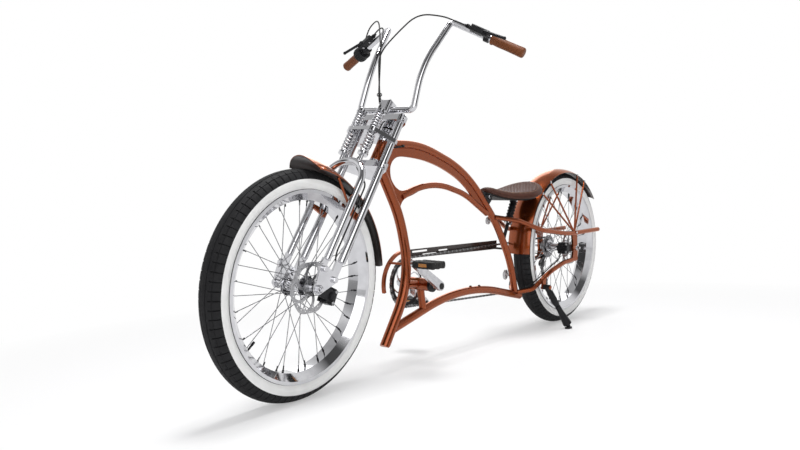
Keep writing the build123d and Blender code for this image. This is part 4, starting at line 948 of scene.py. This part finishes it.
# Cable ties on the bar and cable stops on the frame
SQUARE = ((1, 0, 0), (0, 1, 0), (0, 0, 1))
ties = Shape()
BAR_BASE = Vector((1200.9, 0, 887.2))
for place, axis, r in ((BAR_BASE + Vector((-80, -100, 206)), (73, 69, -157), 10),
                       (BAR_BASE + Vector((-12, -39, 54)), (60, 55, -150), 9)):
    ties.lathe(place, axis, [(-2, r - 1.5), (-2, r), (2, r), (2, r - 1.5)], 20, 0, ring=True)
    ties.block(place + Vector((r * 0.7, r * 0.7, 0)), SQUARE, (5, 5, 6), 1, 0)
ties.make("cable_ties", "steering", [BLACK_PLASTIC])
stops = Shape()
for side in (1, -1):
    place = Vector((1166, side * 17, 767))
    stops.lathe(place, (1, 0, 0), [(-10, 2.6), (-10, 4.6), (7, 4.6), (9, 3.4), (9, 2.6)], 14, 0, ring=True)
    stops.block(place + Vector((-3, -side * 4, 5)), SQUARE, (9, 6, 8), 1.5, 0)
stops.make("cable_stops", "frame", [BLACK_METAL])


# Cables: on the fork, on the frame and the loops between them
def smooth_line(points):
    """Points along a smooth line that the route's points guide."""
    curve = bpy.data.curves.new("route", "CURVE")
    curve.dimensions = "3D"
    spline = curve.splines.new("NURBS")
    spline.points.add(len(points) - 1)
    for point, place in zip(spline.points, points):
        point.co = (*place, 1)
    spline.order_u = 3
    spline.use_endpoint_u = True
    spline.resolution_u = 8
    holder = bpy.data.objects.new("route", curve)
    line = bpy.data.meshes.new_from_object(holder)
    places = [v.co.copy() for v in line.vertices]
    bpy.data.objects.remove(holder)
    bpy.data.meshes.remove(line)
    bpy.data.curves.remove(curve)
    return places


def from_bar(x, y, z):
    return BAR_BASE + Vector((x, y, z))


LEVER_EXIT = LEVER_PLACE - GRIP_DIR * 50 + AHEAD * 23
DRUM_EXIT = mirrored(GRIP_START + Vector((2, 0, 22)))
CABLE_R = 2.5
FORK_CABLES = (
    # front brake: over the bar's left corner, down the right riser, between the springs, inside the left leg
    (LEVER_EXIT, from_bar(-160, 160, 304), from_bar(-152, 116, 324), from_bar(-137, 22, 338),
     from_bar(-112, -40, 280), from_bar(-81, -101, 204), from_bar(-45, -70, 128), from_bar(-8, -34, 48),
     steer_point(72, -12, 690), steer_point(82, -8, 664), steer_point(80, -8, 612), steer_point(68, -8, 594),
     steer_point(42, -8, 556), steer_point(44, -8, 520), steer_point(72, -6, 482), steer_point(84, -4, 462),
     steer_point(84, 4, 436), steer_point(84, 60, 386), steer_point(84, 78, 366), steer_point(84, 78, 330),
     steer_point(84, 77, 200), steer_point(84, 77, 165), steer_point(66, 58, 130), steer_point(36, 60, 84),
     steer_point(31, 61, 14)),
    # rear brake: from the right lever down the right riser to the stem
    (mirrored(LEVER_EXIT), from_bar(-158, -176, 300), from_bar(-150, -136, 312), from_bar(-118, -116, 264),
     from_bar(-78, -94, 206), from_bar(-44, -66, 124), from_bar(-12, -40, 46), steer_point(28, -38, 686),
     steer_point(6, -36, 672)),
    # shift cable: a loop from the top of the drum down the right riser to the stem
    (DRUM_EXIT, from_bar(-209, -262, 306), from_bar(-200, -236, 332), from_bar(-150, -160, 340),
     from_bar(-112, -122, 276), from_bar(-74, -87, 210), from_bar(-45, -66, 130), from_bar(-16, -46, 50),
     steer_point(26, -45, 690), steer_point(4, -44, 676)),
)
cables = Shape()
for route in FORK_CABLES:
    cables.tube(smooth_line(route), CABLE_R, 10)
cable_piece = cables.make("fork_cable_runs", "steering", [CABLE_BLACK], 50)
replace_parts(cable_piece, "fork_cables")

FRAME_CABLES = (
    # into the top tube on each side, and out of the stays to the brake and the derailleur
    ((1174, 17, 767), (1150, 17, 767), (1132, 15, 769), (1118, 10, 772)),
    ((1174, -17, 767), (1150, -17, 767), (1132, -15, 769), (1118, -10, 772)),
    ((352, 40, 202), (322, 58, 212), (228, 87, 278), (180, 88, 294), (150, 88, 303), (104, 73, 333),
     (84, 72, 341)),
    ((352, -40, 202), (322, -58, 212), (228, -87, 278), (150, -88, 303), (60, -84, 319), (16, -73, 301),
     (8, -72, 285)),
)
runs = Shape()
for route in FRAME_CABLES:
    runs.tube(smooth_line(route), CABLE_R, 10)
for side in (1, -1):
    grommet = Vector((1124, side * 12.5, 771))
    runs.lathe(grommet, (0.86, side * 0.5, -0.1), [(-7, 4), (-2, 6), (3, 5), (8, 3.4)], 16, 0)
run_piece = runs.make("frame_cable_runs", "frame", [CABLE_BLACK], 50)
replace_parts(run_piece, "frame_cables")

BRIDGES = (
    # name, points on the stem at its parked turn, points on the frame
    ("brake_bridge", ((6, -36, 672), (-8, -18, 668)),
     ((1150, 10, 846), (1176, 46, 812), (1212, 42, 782), (1200, 18, 768), (1174, 17, 767))),
    ("shift_bridge", ((4, -44, 676), (-10, -50, 664)),
     ((1168, -56, 836), (1190, -48, 806), (1214, -40, 782), (1200, -18, 768), (1174, -17, 767))),
)
for name, turning, still in BRIDGES:
    route = [TURN @ steer_point(*place) for place in turning] + [Vector(place) for place in still]
    hanging = Shape()
    hanging.tube(smooth_line(route), CABLE_R, 10)
    piece = hanging.make(name, "frame", [CABLE_BLACK], 50, rides=False)
    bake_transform(piece)

# Camera at the photograph's view
CAMERA_POS = Vector((3050.4 + SHIFT[0], 1670.2 + SHIFT[1], 535.7)) * MM
CAMERA_RIGHT = Vector((-0.64609, 0.76103, -0.05833))
CAMERA_UP = Vector((-0.0488, 0.03508, 0.99819))
CAMERA_BACK = Vector((0.7617, 0.64777, 0.01447))
camera_data = bpy.data.cameras.new("camera")
camera_data.sensor_width = 36
camera_data.lens = 32.95
camera = bpy.data.objects.new("camera", camera_data)
scene.collection.objects.link(camera)
camera_turn = Matrix((CAMERA_RIGHT, CAMERA_UP, CAMERA_BACK)).transposed().to_4x4()
camera.matrix_world = Matrix.Translation(CAMERA_POS) @ camera_turn
scene.camera = camera


# Floor, world and lamps
def seen(tree):
    """1 where the eye, a mirror or glass looks at the surface, and 0 for the light that it gives."""
    path = tree.nodes.new("ShaderNodeLightPath")
    mirror = math(tree, "MAXIMUM", path.outputs["Is Glossy Ray"], path.outputs["Is Transmission Ray"])
    return math(tree, "MAXIMUM", path.outputs["Is Camera Ray"], mirror)


def grey_stops(stops):
    return [(place, (shade, shade, shade)) for place, shade in stops]


FLOOR_HALF = 14
FADE_REACH = 6.0
FLOOR_FADE = (
    # share of the reach from the middle, share of the floor that glows
    (0.2, 0.35), (0.42, 1.0),
)
MIRRORED_GLOW = 0.5
DIFFUSE_SKY = (0.38, 0.38, 0.39)
floor_mesh = bpy.data.meshes.new("floor")
floor_mesh.from_pydata([(x * FLOOR_HALF, y * FLOOR_HALF, 0) for x, y in ((-1, -1), (1, -1), (1, 1), (-1, 1))],
                       [], [(0, 1, 2, 3)])
floor = bpy.data.objects.new("floor", floor_mesh)
scene.collection.objects.link(floor)
floor_mat, floor_tree, floor_bsdf = new_material("pale_floor")
set_inputs(floor_bsdf, Base_Color=(0.92, 0.92, 0.92, 1), Roughness=0.95)
floor_glow = add(floor_tree, "ShaderNodeEmission", Color=(1, 1, 1, 1), Strength=1.0)
floor_mix = floor_tree.nodes.new("ShaderNodeMixShader")
ground = floor_tree.nodes.new("ShaderNodeVectorMath")
ground.operation = "LENGTH"
floor_tree.links.new(object_coord(floor_tree), ground.inputs[0])
away = ramp(floor_tree, math(floor_tree, "DIVIDE", ground.outputs["Value"], FADE_REACH),
            grey_stops(FLOOR_FADE))
floor_path = floor_tree.nodes.new("ShaderNodeLightPath")
mirrored_share = math(floor_tree, "MULTIPLY", floor_path.outputs["Is Glossy Ray"], MIRRORED_GLOW)
floor_share = math(floor_tree, "MAXIMUM", floor_path.outputs["Is Camera Ray"], mirrored_share)
floor_tree.links.new(math(floor_tree, "MULTIPLY", floor_share, away), floor_mix.inputs["Fac"])
floor_tree.links.new(floor_bsdf.outputs["BSDF"], floor_mix.inputs[1])
floor_tree.links.new(floor_glow.outputs["Emission"], floor_mix.inputs[2])
floor_tree.links.new(floor_mix.outputs["Shader"], floor_tree.nodes["Material Output"].inputs["Surface"])
floor_mesh.materials.append(floor_mat)

world = bpy.data.worlds.new("studio")
scene.world = world
world.use_nodes = True
sky = world.node_tree
direction = sky.nodes.new("ShaderNodeSeparateXYZ")
sky.links.new(sky.nodes.new("ShaderNodeTexCoord").outputs["Generated"], direction.inputs["Vector"])
bearing = math(sky, "ARCTAN2", direction.outputs["Y"], direction.outputs["X"])
bearing = math(sky, "ADD", math(sky, "DIVIDE", bearing, 2 * pi), 0.5)
WALLS = (
    # share of the round from straight behind, brightness of the studio wall
    (0.0, 1.0), (0.38, 1.0), (0.41, 0.06), (0.44, 0.06), (0.47, 0.9), (0.52, 0.9), (0.55, 0.05), (0.64, 0.05),
    (0.67, 0.8), (0.72, 0.8), (0.76, 0.12), (0.82, 0.12), (0.88, 1.0), (1.0, 1.0),
)
CEILING = (
    # height of the look, brightness there
    (0.0, 1.0), (0.6, 1.0), (0.85, 0.45), (1.0, 0.6),
)
walls = ramp(sky, bearing, grey_stops(WALLS))
ceiling = ramp(sky, direction.outputs["Z"], grey_stops(CEILING))
shaded = sky.nodes.new("ShaderNodeMix")
shaded.data_type = "RGBA"
shaded.blend_type = "MULTIPLY"
shaded.inputs["Factor"].default_value = 1.0
sky.links.new(walls, shaded.inputs[6])
sky.links.new(ceiling, shaded.inputs[7])
path = sky.nodes.new("ShaderNodeLightPath")
studio = mix_colour(sky, seen(sky), DIFFUSE_SKY, shaded.outputs[2])
light = mix_colour(sky, path.outputs["Is Camera Ray"], studio, (1.0, 1.0, 1.0))
sky.links.new(light, sky.nodes["Background"].inputs["Color"])

for name, place, aim, size, power in (
    # name, position, target, side of the square lamp, watts
    ("top", (0.2, 0.2, 4.2), (0.2, 0, 0), 1.3, 115),
    ("front", (3.2, 3.6, 2.4), (0, 0, 0.5), 4.0, 100),
    ("back", (-3.5, -3.0, 3.0), (0, 0, 0.5), 3.0, 50),
):
    lamp = bpy.data.lights.new(name, "AREA")
    lamp.size = size
    lamp.energy = power
    holder = bpy.data.objects.new(name, lamp)
    scene.collection.objects.link(holder)
    holder.location = place
    holder.rotation_euler = (Vector(aim) - Vector(place)).to_track_quat("-Z", "Y").to_euler()

scene.view_settings.view_transform = "Standard"
